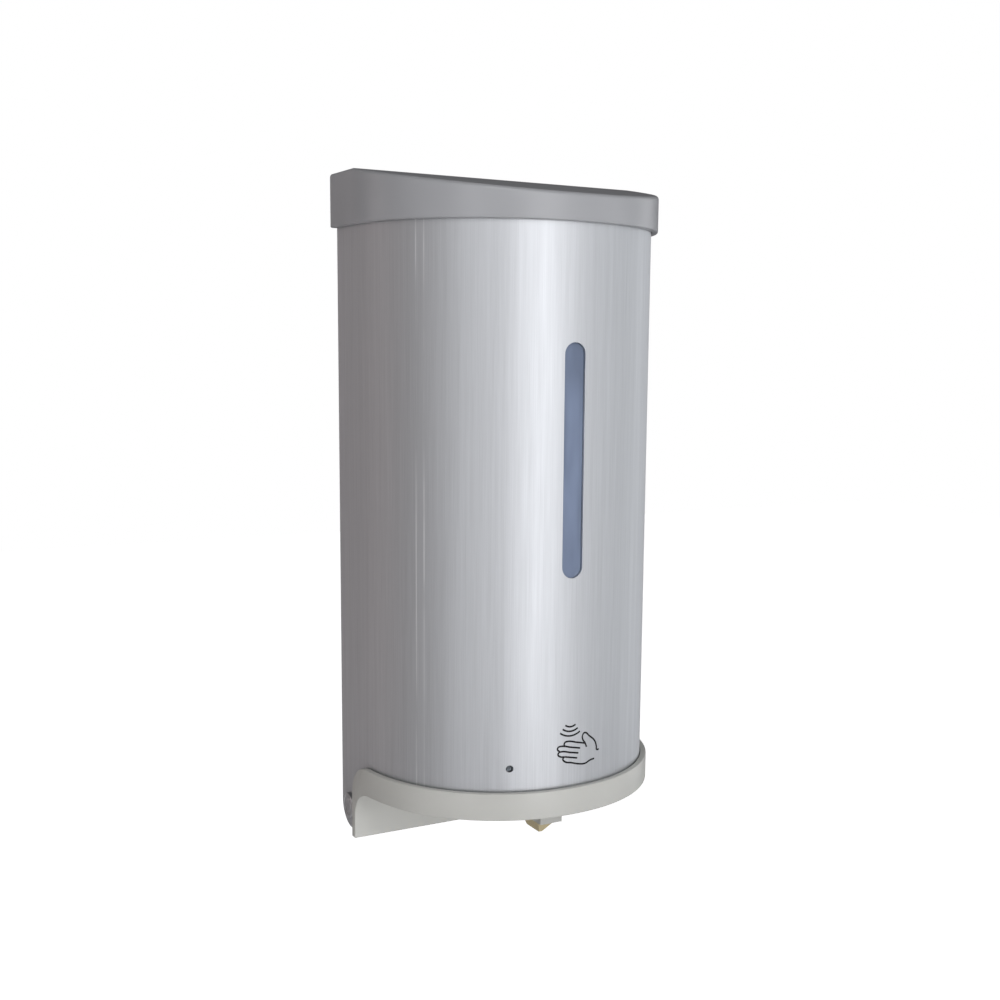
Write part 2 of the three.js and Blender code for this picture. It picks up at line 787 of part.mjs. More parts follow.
function catchScrewHole() {
  return rodY(...catchScrewPlace, screwRadius + fit, -plateThickness - 5 * over, over, 12);
}

function makeCatchScrew() {
  const seat = -plateThickness - catchSheet - 2 * fit;
  return join(
    rodY(...catchScrewPlace, screwRadius, seat - over, -fit, 12),
    rodY(...catchScrewPlace, screwHeadRadius, seat - screwHeadHeight, seat, 12),
  );
}

// ---------------------------------------------------------------- tank

function makeSoapTank() {
  const top = tankTop + neckHeight;
  const outer = upright(filledPlan(-tankGap, -innerToWall), tankBottom, tankTop);
  const collar = rodZ(0, neckY, neckRadius + neckWall, tankTop - over, top, 32);
  const spigot = rodZ(0, hoseY, spigotRadius, tankBottom - spigotLength, tankBottom + over, 16);
  const inner = upright(filledPlan(-tankGap - tankWall, -innerToWall - tankWall),
    tankBottom + tankWall, tankTop - tankWall);
  const mouth = rodZ(0, neckY, neckRadius, tankTop - tankWall - over, top + over, 32);
  const drain = rodZ(0, hoseY, hoseBore, tankBottom - spigotLength - over,
    tankBottom + tankWall + over, 12);
  const ears = [-1, 1].map((side) => {
    const place = sided(side, lidTabHalf + fit, lidTabHalf + fit + earThickness);
    return block(lidPinX - earHalf, lidPinX + earHalf, ...place.map((y) => neckY + y),
      tankTop - over, lidHingeHeight + earHalf);
  });
  return cut(join(outer, collar, spigot, ...ears), inner, mouth, drain, lidPinHole());
}

function lidPinHole() {
  const reach = lidTabHalf + earThickness + over;
  return rodY(lidPinX, lidHingeHeight, lidPinRadius + runningFit, neckY - reach, neckY + reach, 12);
}

function makeTankLid() {
  const top = lidBottom + lidThickness;
  const plugRadius = neckRadius - plugGap;
  const tab = [neckY - lidTabHalf, neckY + lidTabHalf];
  const solid = join(
    rodZ(0, neckY, neckRadius + lidOverlap, lidBottom, top, 32),
    rodZ(0, neckY, plugRadius, lidBottom - plugDepth, lidBottom + over, 32),
    block(lidPinX, over - neckRadius, ...tab, lidBottom, top),
    rodY(lidPinX, lidHingeHeight, lidBarrelRadius, ...tab, 16),
    block(neckRadius - over, neckRadius + gripReach, neckY - gripHalf, neckY + gripHalf,
      lidBottom, top),
  );
  const hollow = rodZ(0, neckY, plugRadius - lidWall, lidBottom - plugDepth - over,
    lidHingeHeight, 32);
  return cut(solid, hollow, lidPinHole());
}

function makeLidPin() {
  const reach = lidTabHalf + fit + earThickness;
  return rodY(lidPinX, lidHingeHeight, lidPinRadius, neckY - reach, neckY + reach, 12);
}

function makeSeal(y, radius, low, segments) {
  const inner = radius + sealFit;
  const outer = inner + sealThickness;
  return turned(0, y, [
    [inner, low], [outer, low], [outer, low + sealHeight], [inner, low + sealHeight],
  ], segments);
}

// ---------------------------------------------------------------- drive housing

// Floor of the housing: it carries the pump, the gear posts, the board, the nozzle, the sensor.
function makeBasePlate() {
  const plate = upright(
    filledPlan(-housingGap - housingWall - fit, -innerToWall), baseBottom, baseTop);
  const post = ([x, y], radius, top) => rodZ(x, y, radius, baseTop - over, top, 16);
  const through = ([x, y], radius, segments = 12) =>
    rodZ(x, y, radius, baseBottom - over, baseTop + over, segments);
  const posts = postPlaces.map((place) => post(place, postRadius, gearPlateBottom - fit));
  const axlePost = post(compoundAxis, axlePostRadius, firstGearLevel - axlePostGap);
  const axleHole = rodZ(...compoundAxis, axleRadius + runningFit, baseTop + axleSeat,
    firstGearLevel, 16);
  const postHoles = postPlaces.map(([x, y]) =>
    rodZ(x, y, screwRadius + fit, gearPlateBottom - screwLength, gearPlateBottom, 12));
  return cut(
    join(plate, ...posts, axlePost, ...makeBoardHolders()),
    axleHole,
    ...postHoles,
    ...bossPlaces.map((place) => through(place, screwRadius + fit)),
    through([0, nozzleY], holderRadius - holderStep + fit, 24),
    ...[-1, 1].map((side) => through([side * sensorX, sensorY], eyeRadius + fit)),
  );
}

// Two slotted posts that the circuit board stands in.
function makeBoardHolders() {
  const rear = -boardToWall + boardHolderWall + fit;
  const front = -boardToWall - boardThickness - boardHolderWall - fit;
  return [boardLeft + boardHolder / 2, boardRight - 1.5 * boardHolder].map((x) => cut(
    block(x, x + boardHolder, front, rear, baseTop - over, boardBottom + boardHolder),
    block(x - over, x + boardHolder + over, front + boardHolderWall, rear - boardHolderWall,
      boardBottom - fit, boardBottom + boardHolder + over),
  ));
}

// The stretch of the housing's wall that the battery door fills, less a gap all round.
function doorBlock(gap) {
  return block(-halfWidth, doorRight - gap, coverFront - over, doorRear - gap, doorBottom + gap,
    doorTop - gap);
}

function housingBand() {
  return upright(bandPlan(-housingGap, -housingGap - housingWall, -innerToWall),
    baseBottom, housingTop);
}

function makeDriveCover() {
  const roof = upright(filledPlan(-housingGap - housingWall / 4, -innerToWall),
    housingTop - housingWall, housingTop);
  const bosses = bossPlaces.map(([x, y]) =>
    rodZ(x, y, bossRadius, baseTop + fit, housingTop - over, 16));
  const screwHoles = bossPlaces.map(([x, y]) =>
    rodZ(x, y, screwRadius + fit, baseTop, baseTop + screwLength + over, 12));
  const hoseHole = rodZ(0, hoseY, spigotRadius + sealThickness + over,
    housingTop - housingWall - over, housingTop + over);
  const slotHalf = (knobWidth + switchTravel) / 2 + fit;
  const switchSlot = block(-slotHalf, slotHalf, coverFront, housingFace + 2 * over,
    switchHeight - knobHalfHeight - fit, switchHeight + knobHalfHeight + fit);
  return cut(join(housingBand(), roof, ...bosses), ...screwHoles, hoseHole, switchSlot,
    lightHole(), doorBlock(0));
}

function lightHole() {
  return holeFromFront(indicatorX, indicatorHeight, ledRadius + fit, -sideDepth - over);
}

function makeBatteryDoor() {
  const gripHigh = doorTop - doorGripHeight;
  const gripX = doorRight - doorGripX;
  const grip = common(
    upright(bandPlan(-housingGap + doorGripProud, -housingGap - housingWall / 4, -innerToWall),
      gripHigh - doorGripHeight, gripHigh),
    block(gripX, gripX + 2 * doorGripHeight, coverFront, doorRear, doorBottom, doorTop),
  );
  return cut(join(common(housingBand(), doorBlock(fit)), grip), lightHole());
}

// ---------------------------------------------------------------- batteries

// Angles round the front at which the cells stand side by side, from the rear boss forwards.
function makeCellAngles() {
  const centre = (angle) => new THREE.Vector2(...frontPoint(angle, cellInset));
  const firstY = -bossToWall - bossRadius - cellAheadOfBoss - cellRadius;
  const angles = [];
  for (let angle = 0; angles.length < cellCount; angle += 0.001) {
    const clear = angles.length === 0 ? centre(angle).y <= firstY
      : centre(angle).distanceTo(centre(angles.at(-1))) >= 2 * cellRadius + cellSpacing;
    if (clear) angles.push(angle);
  }
  return angles;
}

// Tray: a wall behind the cells, with a shelf below and above them.
function makeBatteryTray() {
  const outer = -housingGap - housingWall - cellGap - fit;
  const inner = outer - 2 * cellRadius - trayRoom;
  const turn = (cellRadius + fit) / (halfWidth + (outer + inner) / 2);
  const rearEnd = (bossToWall + bossRadius + 2 * fit - sideDepth) / halfWidth;
  const ends = [rearEnd, cellAngles.at(-1) + turn];
  const pocketTop = cellBottom + cellHeight + 2 * fit;
  const whole = upright(arcPlan(outer, inner - trayWall, ...ends), baseTop + over,
    pocketTop + 2 * trayWall);
  const pocket = upright(
    arcPlan(outer + 2 * over, inner, ends[0] - turn / 2, ends[1] + turn / 2),
    cellBottom - springHeight, pocketTop);
  return cut(whole, pocket);
}

function makeCell([x, y]) {
  const low = cellBottom;
  const high = low + cellHeight;
  const shoulder = high - cellNubHeight;
  return turned(x, y, [
    [0, low], [cellRadius - 2, low], [cellRadius, low + 0.5], [cellRadius, shoulder - 0.5],
    [cellRadius - 1, shoulder], [cellNubRadius, shoulder], [cellNubRadius, high], [0, high],
  ]);
}

// Coil of wire that narrows towards the cell, between the tray's lower shelf and the cell.
class Coil extends THREE.Curve {
  constructor(x, y) {
    super();
    this.middle = new THREE.Vector3(x, y, cellBottom - springHeight / 2);
  }

  getPoint(t, target = new THREE.Vector3()) {
    const angle = 2 * Math.PI * springTurns * t;
    const radius = springRadius - springTaper * t;
    const rise = springHeight - 2 * springWire - fit;
    target.set(radius * Math.cos(angle), radius * Math.sin(angle), rise * (t - 0.5));
    return target.add(this.middle);
  }
}

function makeSpring([x, y]) {
  const wire = ringOutline(springWire, 5);
  return toSolid(new THREE.ExtrudeGeometry(wire, { steps: 20, extrudePath: new Coil(x, y) }));
}

// A regular outline about the origin.
function ringOutline(radius, sides) {
  const angles = [...Array(sides).keys()].map((i) => 2 * Math.PI * i / sides);
  return outline(angles.map((angle) => [radius * Math.cos(angle), radius * Math.sin(angle)]));
}

// ---------------------------------------------------------------- pump, gears, motor

// Gear blank with involute flanks. phase turns it so that a tooth points along that angle.
function gearShape(teeth, module, phase) {
  const pitch = module * teeth / 2;
  const base = pitch * Math.cos(THREE.MathUtils.degToRad(pressureAngle));
  const flank = [pitch - dedendum * module, pitch, pitch + addendum * module];
  const involute = (radius) => {
    const angle = Math.acos(Math.min(1, base / radius));
    return Math.tan(angle) - angle;
  };
  const half = (radius) => Math.PI / (2 * teeth) - backlash * module / pitch
    + involute(pitch) - involute(Math.max(radius, base));
  const points = [];
  for (let tooth = 0; tooth < teeth; tooth += 1) {
    const middle = phase + 2 * Math.PI * tooth / teeth;
    for (const r of flank) {
      points.push([r * Math.cos(middle - half(r)), r * Math.sin(middle - half(r))]);
    }
    for (const r of [...flank].reverse()) {
      points.push([r * Math.cos(middle + half(r)), r * Math.sin(middle + half(r))]);
    }
  }
  return outline(points);
}

function gearAt(axis, teeth, module, phase, low, high) {
  const geometry = new THREE.ExtrudeGeometry(gearShape(teeth, module, phase), {
    depth: high - low, bevelEnabled: false,
  });
  return toSolid(geometry.translate(axis.x, axis.y, low));
}

function pumpOutline() {
  return roundedRectangle(idlerAxis.x - pumpReach, pumpAxis.x + pumpReach,
    pumpY - pumpReach, pumpY + pumpReach, 2 * pumpWall);
}

// Pump body: a block with two meeting round chambers and a port in front and behind.
function makePumpBody() {
  const chambers = [pumpAxis, idlerAxis].map((axis) =>
    rodZ(...axis, rotorTip + fit, pumpBottom + pumpFloor, pumpTop + over, 32));
  const bearings = [pumpAxis, idlerAxis].map((axis) =>
    rodZ(...axis, shaftRadius + runningFit, pumpBottom + bearingFloor, pumpTop));
  const stub = (near, far) => rodY(0, pumpPortHeight, hoseBore + over, near, far, 16);
  const port = rodY(0, pumpPortHeight, hoseBore, pumpY - pumpReach - outletStub - over,
    pumpY + pumpReach + inletStub + over, 16);
  return cut(
    join(
      upright(pumpOutline(), pumpBottom, pumpTop, 4),
      stub(pumpY + pumpReach - over, pumpY + pumpReach + inletStub),
      stub(pumpY - pumpReach - outletStub, pumpY - pumpReach + over),
    ),
    ...chambers,
    ...bearings,
    port,
  );
}

function makePumpCover() {
  const low = pumpTop + fit;
  const plate = upright(pumpOutline(), low, low + pumpCoverThickness, 4);
  const holeTo = (axis, top) => rodZ(...axis, shaftRadius + runningFit, low - over, top);
  return cut(plate, holeTo(pumpAxis, low + pumpCoverThickness + over),
    holeTo(idlerAxis, low + pumpCoverThickness / 2));
}

function makeRotor(axis, phase, shaftTop) {
  return join(
    gearAt(axis, rotorTeeth, rotorModule, phase, rotorLow, rotorLow + rotorThickness - fit),
    rodZ(...axis, shaftRadius, pumpBottom + bearingFloor + fit, shaftTop),
  );
}

function makeOutputGear() {
  const phase = THREE.MathUtils.degToRad(compoundDirection);
  const top = firstGearLevel + wheelThickness;
  return cut(
    join(
      gearAt(pumpAxis, wheelTeeth, gearModule, phase, firstGearLevel, top),
      rodZ(...pumpAxis, outputHubRadius, firstGearLevel, top + outputHubHeight),
    ),
    rodZ(...pumpAxis, shaftRadius + runningFit, firstGearLevel - over,
      top + outputHubHeight + over),
  );
}

// Compound gear: a small pinion below that drives the output gear, a wheel above.
function makeCompoundGear() {
  const low = firstGearLevel - over / 2;
  const top = secondGearLevel + wheelThickness;
  const halfTooth = Math.PI / pinionTeeth;
  const towardsOutput = THREE.MathUtils.degToRad(compoundDirection) + Math.PI;
  return cut(
    join(
      gearAt(compoundAxis, pinionTeeth, gearModule, towardsOutput + halfTooth, low,
        secondGearLevel + over),
      gearAt(compoundAxis, wheelTeeth, gearModule, THREE.MathUtils.degToRad(motorDirection),
        secondGearLevel, top),
    ),
    rodZ(...compoundAxis, axleRadius + runningFit, low - over, top + over, 16),
  );
}

function makeCompoundAxle() {
  return rodZ(...compoundAxis, axleRadius, baseTop + axleSeat + fit, gearPlateTop - over / 2, 16);
}

function makeMotorPinion() {
  const towardsCompound = THREE.MathUtils.degToRad(motorDirection) + Math.PI;
  const halfTooth = Math.PI / pinionTeeth;
  return join(
    gearAt(motorAxis, pinionTeeth, gearModule, towardsCompound + halfTooth,
      secondGearLevel - over / 2, secondGearLevel + wheelThickness + over / 2),
    rodZ(...motorAxis, motorShaftRadius, secondGearLevel, motorLow + motorHeight / 3, 16),
  );
}

function makeMotor() {
  const high = motorLow + motorHeight;
  const can = turned(...motorAxis, [
    [0, motorLow], [motorRadius, motorLow], [motorRadius, high - 1], [motorRadius - 1, high],
    [motorBossRadius, high], [motorBossRadius, high + 1], [0, high + 1],
  ], 24);
  const hole = rodZ(...motorAxis, motorShaftRadius + runningFit, motorLow - over,
    motorLow + motorHeight / 3 + over, 16);
  return cut(can, hole);
}

function makeGearPlate() {
  const [rear, left, front] = postPlaces;
  const edge = postRadius + over;
  const shape = outline([
    [left[0] - edge, left[1] + edge], [rear[0] + postRadius, rear[1] + postRadius],
    [motorAxis.x + motorRadius - over, motorAxis.y], [front[0] + edge, front[1] - edge],
    [front[0] - edge, front[1] - edge], [pumpAxis.x - 2 * edge, pumpY - pitchWheel],
    [left[0] - edge, left[1] - edge],
  ]);
  const through = ([x, y], radius) =>
    rodZ(x, y, radius, gearPlateBottom - over, gearPlateTop + over, 16);
  return cut(
    upright(shape, gearPlateBottom, gearPlateTop),
    through([0, hoseY], hoseRadius + over),
    through(pumpAxis, shaftRadius + runningFit),
    through(compoundAxis, axleRadius + runningFit),
    through(motorAxis, 2 * motorShaftRadius),
    ...postPlaces.map((place) => through(place, screwRadius + fit)),
  );
}

// Pan-head screw along Z, with its tip above or below its head.
function makeScrew([x, y], headLow, headHigh, tip) {
  const low = Math.min(headLow + over / 5, tip);
  const high = Math.max(headHigh - over / 5, tip);
  return join(rodZ(x, y, screwRadius, low, high, 12),
    rodZ(x, y, screwHeadRadius, headLow, headHigh, 12));
}

// ---------------------------------------------------------------- hoses, nozzle, sensor

// Hose from the pump's rear port up to the tank's spigot.
function makeInletTube() {
  const rear = pumpY + pumpReach + inletStub + fit;
  const curve = new THREE.CatmullRomCurve3([
    [0, rear, pumpPortHeight],
    [0, hoseY - hoseRadius, pumpPortHeight],
    [0, hoseY, pumpPortHeight + hoseRadius],
    [0, hoseY, pumpPortHeight + 6 * hoseRadius],
    [0, hoseY, tankBottom - spigotLength - fit],
  ].map((point) => new THREE.Vector3(...point)));
  const section = ringOutline(hoseRadius, 10);
  section.holes.push(ringOutline(hoseBore, 8));
  return toSolid(new THREE.ExtrudeGeometry(section, { steps: 12, extrudePath: curve }));
}

function makeOutletTube() {
  const rear = pumpY - pumpReach - outletStub - fit;
  const front = nozzleY + holderRadius - holderStep + fit;
  return cut(
    rodY(0, pumpPortHeight, hoseBore + over, front, rear, 12),
    rodY(0, pumpPortHeight, hoseBore, front - over, rear + over, 12),
  );
}

// Holder: a stepped spout through the base plate, with a side inlet and a ledge in front.
function makeNozzleHolder() {
  const neck = holderRadius - holderStep;
  const step = baseBottom - fit;
  const top = pumpPortHeight + 2 * hoseBore;
  const body = turned(0, nozzleY, [
    [0, holderBottom], [holderRadius - 1, holderBottom], [holderRadius, holderBottom + 1],
    [holderRadius, step], [neck, step], [neck, top], [0, top],
  ], 24);
  const ledge = block(-holderLedgeHalf, holderLedgeHalf, nozzleY - holderRadius - holderLedge,
    nozzleY, holderBottom, holderBottom + holderLedgeHeight);
  const channel = rodZ(0, nozzleY, hoseBore, holderBottom - over, pumpPortHeight + over, 12);
  const inlet = rodY(0, pumpPortHeight, hoseBore, nozzleY, nozzleY + holderRadius, 12);
  return cut(join(body, ledge), channel, inlet);
}

// Tip: a soft wedge whose slit lies fore and aft along its lower edge.
function makeNozzleTip() {
  const front = nozzleY - tipLength / 2;
  const rear = nozzleY + tipLength / 2;
  const end = outline([
    [-tipWidth / 2, tipTop], [-slitWidth / 2, tipBottom], [slitWidth / 2, tipBottom],
    [tipWidth / 2, tipTop],
  ]);
  const side = outline([
    [rear, tipTop], [rear, tipBottom], [front + tipChamfer, tipBottom],
    [front, tipBottom + tipRise], [front, tipTop],
  ]);
  const channel = rodZ(0, nozzleY, slitWidth / 2 - fit, tipBottom - over, tipTop + over, 10);
  return cut(common(frontOn(end, front, rear), sideways(side, -tipWidth, tipWidth)), channel);
}

function makeEye(side) {
  const place = [side * sensorX, sensorY];
  const seat = baseTop + fit;
  return join(
    rodZ(...place, eyeRadius, baseBottom - eyeProud, baseTop + eyeLength, 12),
    rodZ(...place, eyeRadius + eyeFlange, seat, seat + over, 12),
  );
}

function makeSensorWindow() {
  const top = baseBottom - eyeProud - fit;
  const half = sensorX + eyeRadius + eyeRadius;
  const shape = roundedRectangle(-half, half, sensorY - sensorWindowHalf,
    sensorY + sensorWindowHalf, sensorWindowHalf / 2);
  return upright(shape, top - sensorWindowThickness, top, 3);
}

// Circuit board with its larger components.
function makeControlBoard() {
  const face = -boardToWall - boardThickness;
  const onBoard = (left, width, low, height, depth) => block(left, left + width, face - depth,
    face + over / 10, boardBottom + low, boardBottom + low + height);
  return join(
    block(boardLeft, boardRight, face, -boardToWall, boardBottom, boardBottom + boardHeight),
    onBoard(boardLeft + 10, 10, 16, 10, chipDepth),
    onBoard(boardLeft + 4, 4, 32, 8, componentDepth),
    onBoard(boardRight - 8, 6, 8, 12, componentDepth),
  );
}

function makeStatusLed() {
  return rodY(indicatorX, indicatorHeight, ledRadius, ledFront, ledFront + ledLength, 12);
}

function makeSwitchBody() {
  const slotHalf = (knobWidth + switchTravel) / 2 + fit;
  const high = knobHalfHeight + fit;
  const body = block(-switchBodyHalf, switchBodyHalf, housingFace + over,
    housingFace + switchBodyDepth, switchHeight - high - switchWall,
    switchHeight + high + switchWall);
  const track = block(-slotHalf, slotHalf, housingFace, housingFace + switchBodyDepth / 2 + fit,
    switchHeight - high, switchHeight + high);
  return cut(body, track);
}

function makeSwitchKnob() {
  const left = -(knobWidth + switchTravel) / 2;
  return block(left, left + knobWidth, housingFace - housingWall - knobProud,
    housingFace + switchBodyDepth / 2, switchHeight - knobHalfHeight,
    switchHeight + knobHalfHeight);
}

// ---------------------------------------------------------------- assembly

piece('steel_cover', makeSteelCover(), finishes.brushedSteel);
piece('top_cap', makeTopCap(), finishes.capPlastic);
piece('bottom_bezel', makeBottomBezel(), finishes.bezelPlastic);
piece('window_lens', makeWindowLens(), finishes.tintedPlastic);
piece('indicator_lens', makeIndicatorLens(), finishes.clearResin);
piece('bezel_screw_left', makeBezelScrew(-1), finishes.brightSteel);
piece('bezel_screw_right', makeBezelScrew(1), finishes.brightSteel);
piece('hinge_pin_left', makeHingePin(-1), finishes.brightSteel);
piece('hinge_pin_right', makeHingePin(1), finishes.brightSteel);

piece('lock_barrel', makeLockBarrel(), finishes.brightSteel);
piece('lock_cam', makeLockCam(), finishes.brightSteel);
piece('lock_screw', makeLockScrew(), finishes.brightSteel);

piece('back_plate', makeBackPlate(), finishes.innerPlastic);
piece('latch_catch', makeLatchCatch(), finishes.brightSteel);
piece('catch_screw', makeCatchScrew(), finishes.brightSteel);

piece('soap_tank', makeSoapTank(), finishes.milkyPlastic);
piece('tank_lid', makeTankLid(), finishes.innerPlastic);
piece('lid_pin', makeLidPin(), finishes.brightSteel);
piece('lid_seal', makeSeal(neckY, neckRadius - plugGap, lidBottom - plugDepth + fit, 32),
  finishes.greyRubber);
piece('outlet_seal', makeSeal(hoseY, spigotRadius, tankBottom - spigotLength + over, 16),
  finishes.greyRubber);

piece('base_plate', makeBasePlate(), finishes.innerPlastic);
piece('drive_cover', makeDriveCover(), finishes.innerPlastic);
piece('battery_door', makeBatteryDoor(), finishes.innerPlastic);
piece('battery_tray', makeBatteryTray(), finishes.darkPlastic);
cellPlaces.forEach((place, i) => {
  piece(`battery_cell_${i + 1}`, makeCell(place), finishes.cellWrap);
  piece(`battery_spring_${i + 1}`, makeSpring(place), finishes.brightSteel);
});

piece('pump_body', makePumpBody(), finishes.innerPlastic);
piece('pump_cover', makePumpCover(), finishes.innerPlastic);
piece('drive_rotor', makeRotor(pumpAxis, 0, gearPlateTop - over / 2), finishes.gearPlastic);
piece('idler_rotor', makeRotor(idlerAxis, Math.PI / rotorTeeth, pumpTop + over),
  finishes.gearPlastic);
piece('output_gear', makeOutputGear(), finishes.gearPlastic);
piece('compound_gear', makeCompoundGear(), finishes.gearPlastic);
piece('compound_axle', makeCompoundAxle(), finishes.brightSteel);
piece('motor_pinion', makeMotorPinion(), finishes.brass);
piece('motor', makeMotor(), finishes.brightSteel);
piece('gear_plate', makeGearPlate(), finishes.innerPlastic);
postPlaces.forEach((place, i) => {
  const seat = gearPlateTop + fit;
  piece(`gear_plate_screw_${i + 1}`,
    makeScrew(place, seat, seat + screwHeadHeight, seat - screwLength), finishes.brightSteel);
});
bossPlaces.forEach((place, i) => {
  const seat = baseBottom - fit;
  piece(`base_screw_${i + 1}`,
    makeScrew(place, seat - screwHeadHeight, seat, seat + screwLength), finishes.brightSteel);
});

piece('inlet_tube', makeInletTube(), finishes.milkyPlastic);
piece('outlet_tube', makeOutletTube(), finishes.milkyPlastic);
piece('nozzle_holder', makeNozzleHolder(), finishes.bezelPlastic);
piece('nozzle_tip', makeNozzleTip(), finishes.tanRubber);

piece('control_board', makeControlBoard(), finishes.boardGreen);
piece('ir_emitter', makeEye(-1), finishes.clearResin);
piece('ir_receiver', makeEye(1), finishes.darkPlastic);
piece('sensor_window', makeSensorWindow(), finishes.darkPlastic);
piece('status_led', makeStatusLed(), finishes.clearResin);
piece('switch_body', makeSwitchBody(), finishes.darkPlastic);
piece('switch_knob', makeSwitchKnob(), finishes.darkPlastic);

dispenser.position.z = -totalHeight / 2;

export default dispenser;
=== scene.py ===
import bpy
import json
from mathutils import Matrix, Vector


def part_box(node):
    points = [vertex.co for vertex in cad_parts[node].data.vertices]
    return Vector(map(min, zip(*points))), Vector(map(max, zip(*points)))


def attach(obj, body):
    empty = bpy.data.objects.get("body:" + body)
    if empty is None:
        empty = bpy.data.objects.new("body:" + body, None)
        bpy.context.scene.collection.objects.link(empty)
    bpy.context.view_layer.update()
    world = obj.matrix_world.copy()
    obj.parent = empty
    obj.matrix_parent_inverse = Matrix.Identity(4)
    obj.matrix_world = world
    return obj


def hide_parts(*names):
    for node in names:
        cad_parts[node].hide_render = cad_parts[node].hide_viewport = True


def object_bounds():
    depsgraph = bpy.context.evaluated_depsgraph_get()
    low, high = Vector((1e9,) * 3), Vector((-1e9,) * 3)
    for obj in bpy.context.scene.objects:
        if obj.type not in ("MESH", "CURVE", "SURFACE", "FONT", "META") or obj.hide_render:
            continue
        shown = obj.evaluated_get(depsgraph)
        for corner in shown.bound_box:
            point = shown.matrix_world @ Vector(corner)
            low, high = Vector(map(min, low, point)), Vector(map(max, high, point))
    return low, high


bl_info = {
    "name": "Wall mounted soap dispenser",
    "version": (1, 0, 0),
    "blender": (4, 5, 0),
    "location": "3D View > Sidebar > Dispenser",
    "description": "Builds the visible pieces and finishes of a wall mounted soap dispenser",
    "category": "Add Mesh",
}

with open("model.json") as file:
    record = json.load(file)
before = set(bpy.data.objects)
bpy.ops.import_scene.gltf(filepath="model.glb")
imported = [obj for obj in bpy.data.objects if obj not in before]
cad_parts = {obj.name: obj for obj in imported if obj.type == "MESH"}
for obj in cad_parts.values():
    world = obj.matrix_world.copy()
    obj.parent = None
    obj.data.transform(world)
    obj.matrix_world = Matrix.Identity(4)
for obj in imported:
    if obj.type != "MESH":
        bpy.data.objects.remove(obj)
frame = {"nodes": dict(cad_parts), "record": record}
cad_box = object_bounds()

import json
import math

import bmesh
import bpy
from bpy.props import FloatProperty, FloatVectorProperty, IntProperty, PointerProperty
from mathutils import Matrix, Vector

MM = 0.001
RISE = cad_box[1].z / MM          # the lower edge of the bezel is this far below the origin
TO_FRAME = Matrix.Scale(MM, 4) @ Matrix.Translation((0, 0, -RISE))
SHEET_UV = "sheet"                # across and up the steel sheet, in metres

# places in millimetres: across from the middle, out from the wall (negative) and up from the
# lower edge of the bezel
HINGE = (-11, 11)                 # the hinge's axis, out and up
LOCK = (0, -13)                   # the lock's axis, across and out
STATUS_LIGHT = (-24.4, 42.4)      # its hole in the steel, across and up
COVE = (-36, 8.5, 13.5)           # the bezel's hollow rear edge: centre, out and up, and radius
WING = (-34, 18, 15)              # the rounded shoulder of the bezel's sides, likewise
REACH = 80                        # wider than any piece, to either side
BEYOND = -100                     # further out than any piece


def linear(code):
    """An sRGB hex colour as linear red, green, blue and alpha."""
    parts = [int(code[i:i + 2], 16) / 255 for i in (1, 3, 5)]
    return (*(c / 12.92 if c <= 0.04045 else ((c + 0.055) / 1.055) ** 2.4 for c in parts), 1)


def low(node):
    """A node's lowest corner, in millimetres above the bezel's lower edge."""
    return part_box(node)[0] / MM + Vector((0, 0, RISE))


def high(node):
    """A node's highest corner, likewise."""
    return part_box(node)[1] / MM + Vector((0, 0, RISE))


# ---------------------------------------------------------------- settings

def length(label, text, value):
    """A size in millimetres, kept in metres as Blender's lengths are."""
    return FloatProperty(name=label, description=text, default=value * MM, subtype="DISTANCE",
                         unit="LENGTH", min=0, precision=4)


def colour(label, text, code):
    return FloatVectorProperty(name=label, description=text, default=linear(code), size=4,
                               subtype="COLOR", min=0, max=1)


class CoverSizes(bpy.types.PropertyGroup):
    half_width: length("Half width", "From the middle to the steel's outer face",
                       high("steel_cover").x)
    side_depth: length("Side depth", "Straight part of each side, from the wall", 24.3)
    bulge: length("Bulge", "The curved front, ahead of the straight sides",
                  -low("steel_cover").y - 24.3)
    squareness: FloatProperty(name="Squareness", default=2.08, min=1.5, max=4,
                              description="2 is a plain ellipse in plan, more is squarer")
    sheet: length("Sheet", "Thickness of the steel", 1)
    overhang: length("Overhang", "How far the cap and bezel stand proud of the steel",
                     high("top_cap").x - high("steel_cover").x)
    gap: length("Gap", "Clearance between pieces that touch", 0.3)
    wall_gap: length("Wall gap", "From the wall to the rear edges", -high("steel_cover").y)
    roof_slope: FloatProperty(name="Roof slope", default=0.162, min=0, max=0.5,
                              description="Fall of the roof for each millimetre forwards")
    cap_wall: length("Cap wall", "Thickness of the cap's roof", 2.5)
    cap_edge: length("Cap edge", "Radius of the cap's upper edge", 1.5)
    bezel_edge: length("Bezel edge", "Radius of the bezel's edges", 0.4)
    steps: IntProperty(name="Steps", description="Straight steps round the front", default=96,
                       min=24, max=400)


class FittingSizes(bpy.types.PropertyGroup):
    window_width: length("Window width", "Width of the level window's slot", 9)
    window_low: length("Window foot", "Lower end of the slot above the bezel's edge", 117.3)
    window_high: length("Window head", "Upper end of the slot above the bezel's edge", 208.6)
    lens_thickness: length("Lens thickness", "Thickness of the window's lens", 1.5)
    light_radius: length("Light radius", "Radius of the hole for the status light", 1.4)
    pin_head: length("Pin head", "Radius of the hinge pins' heads", 5.4)
    screw_head: length("Screw head", "Radius of the screws' heads", 2.4)
    spring_wire: length("Spring wire", "Thickness of the battery springs' wire", 0.9)
    print_line: length("Printed line", "Width of the hand symbol's lines", 0.72)


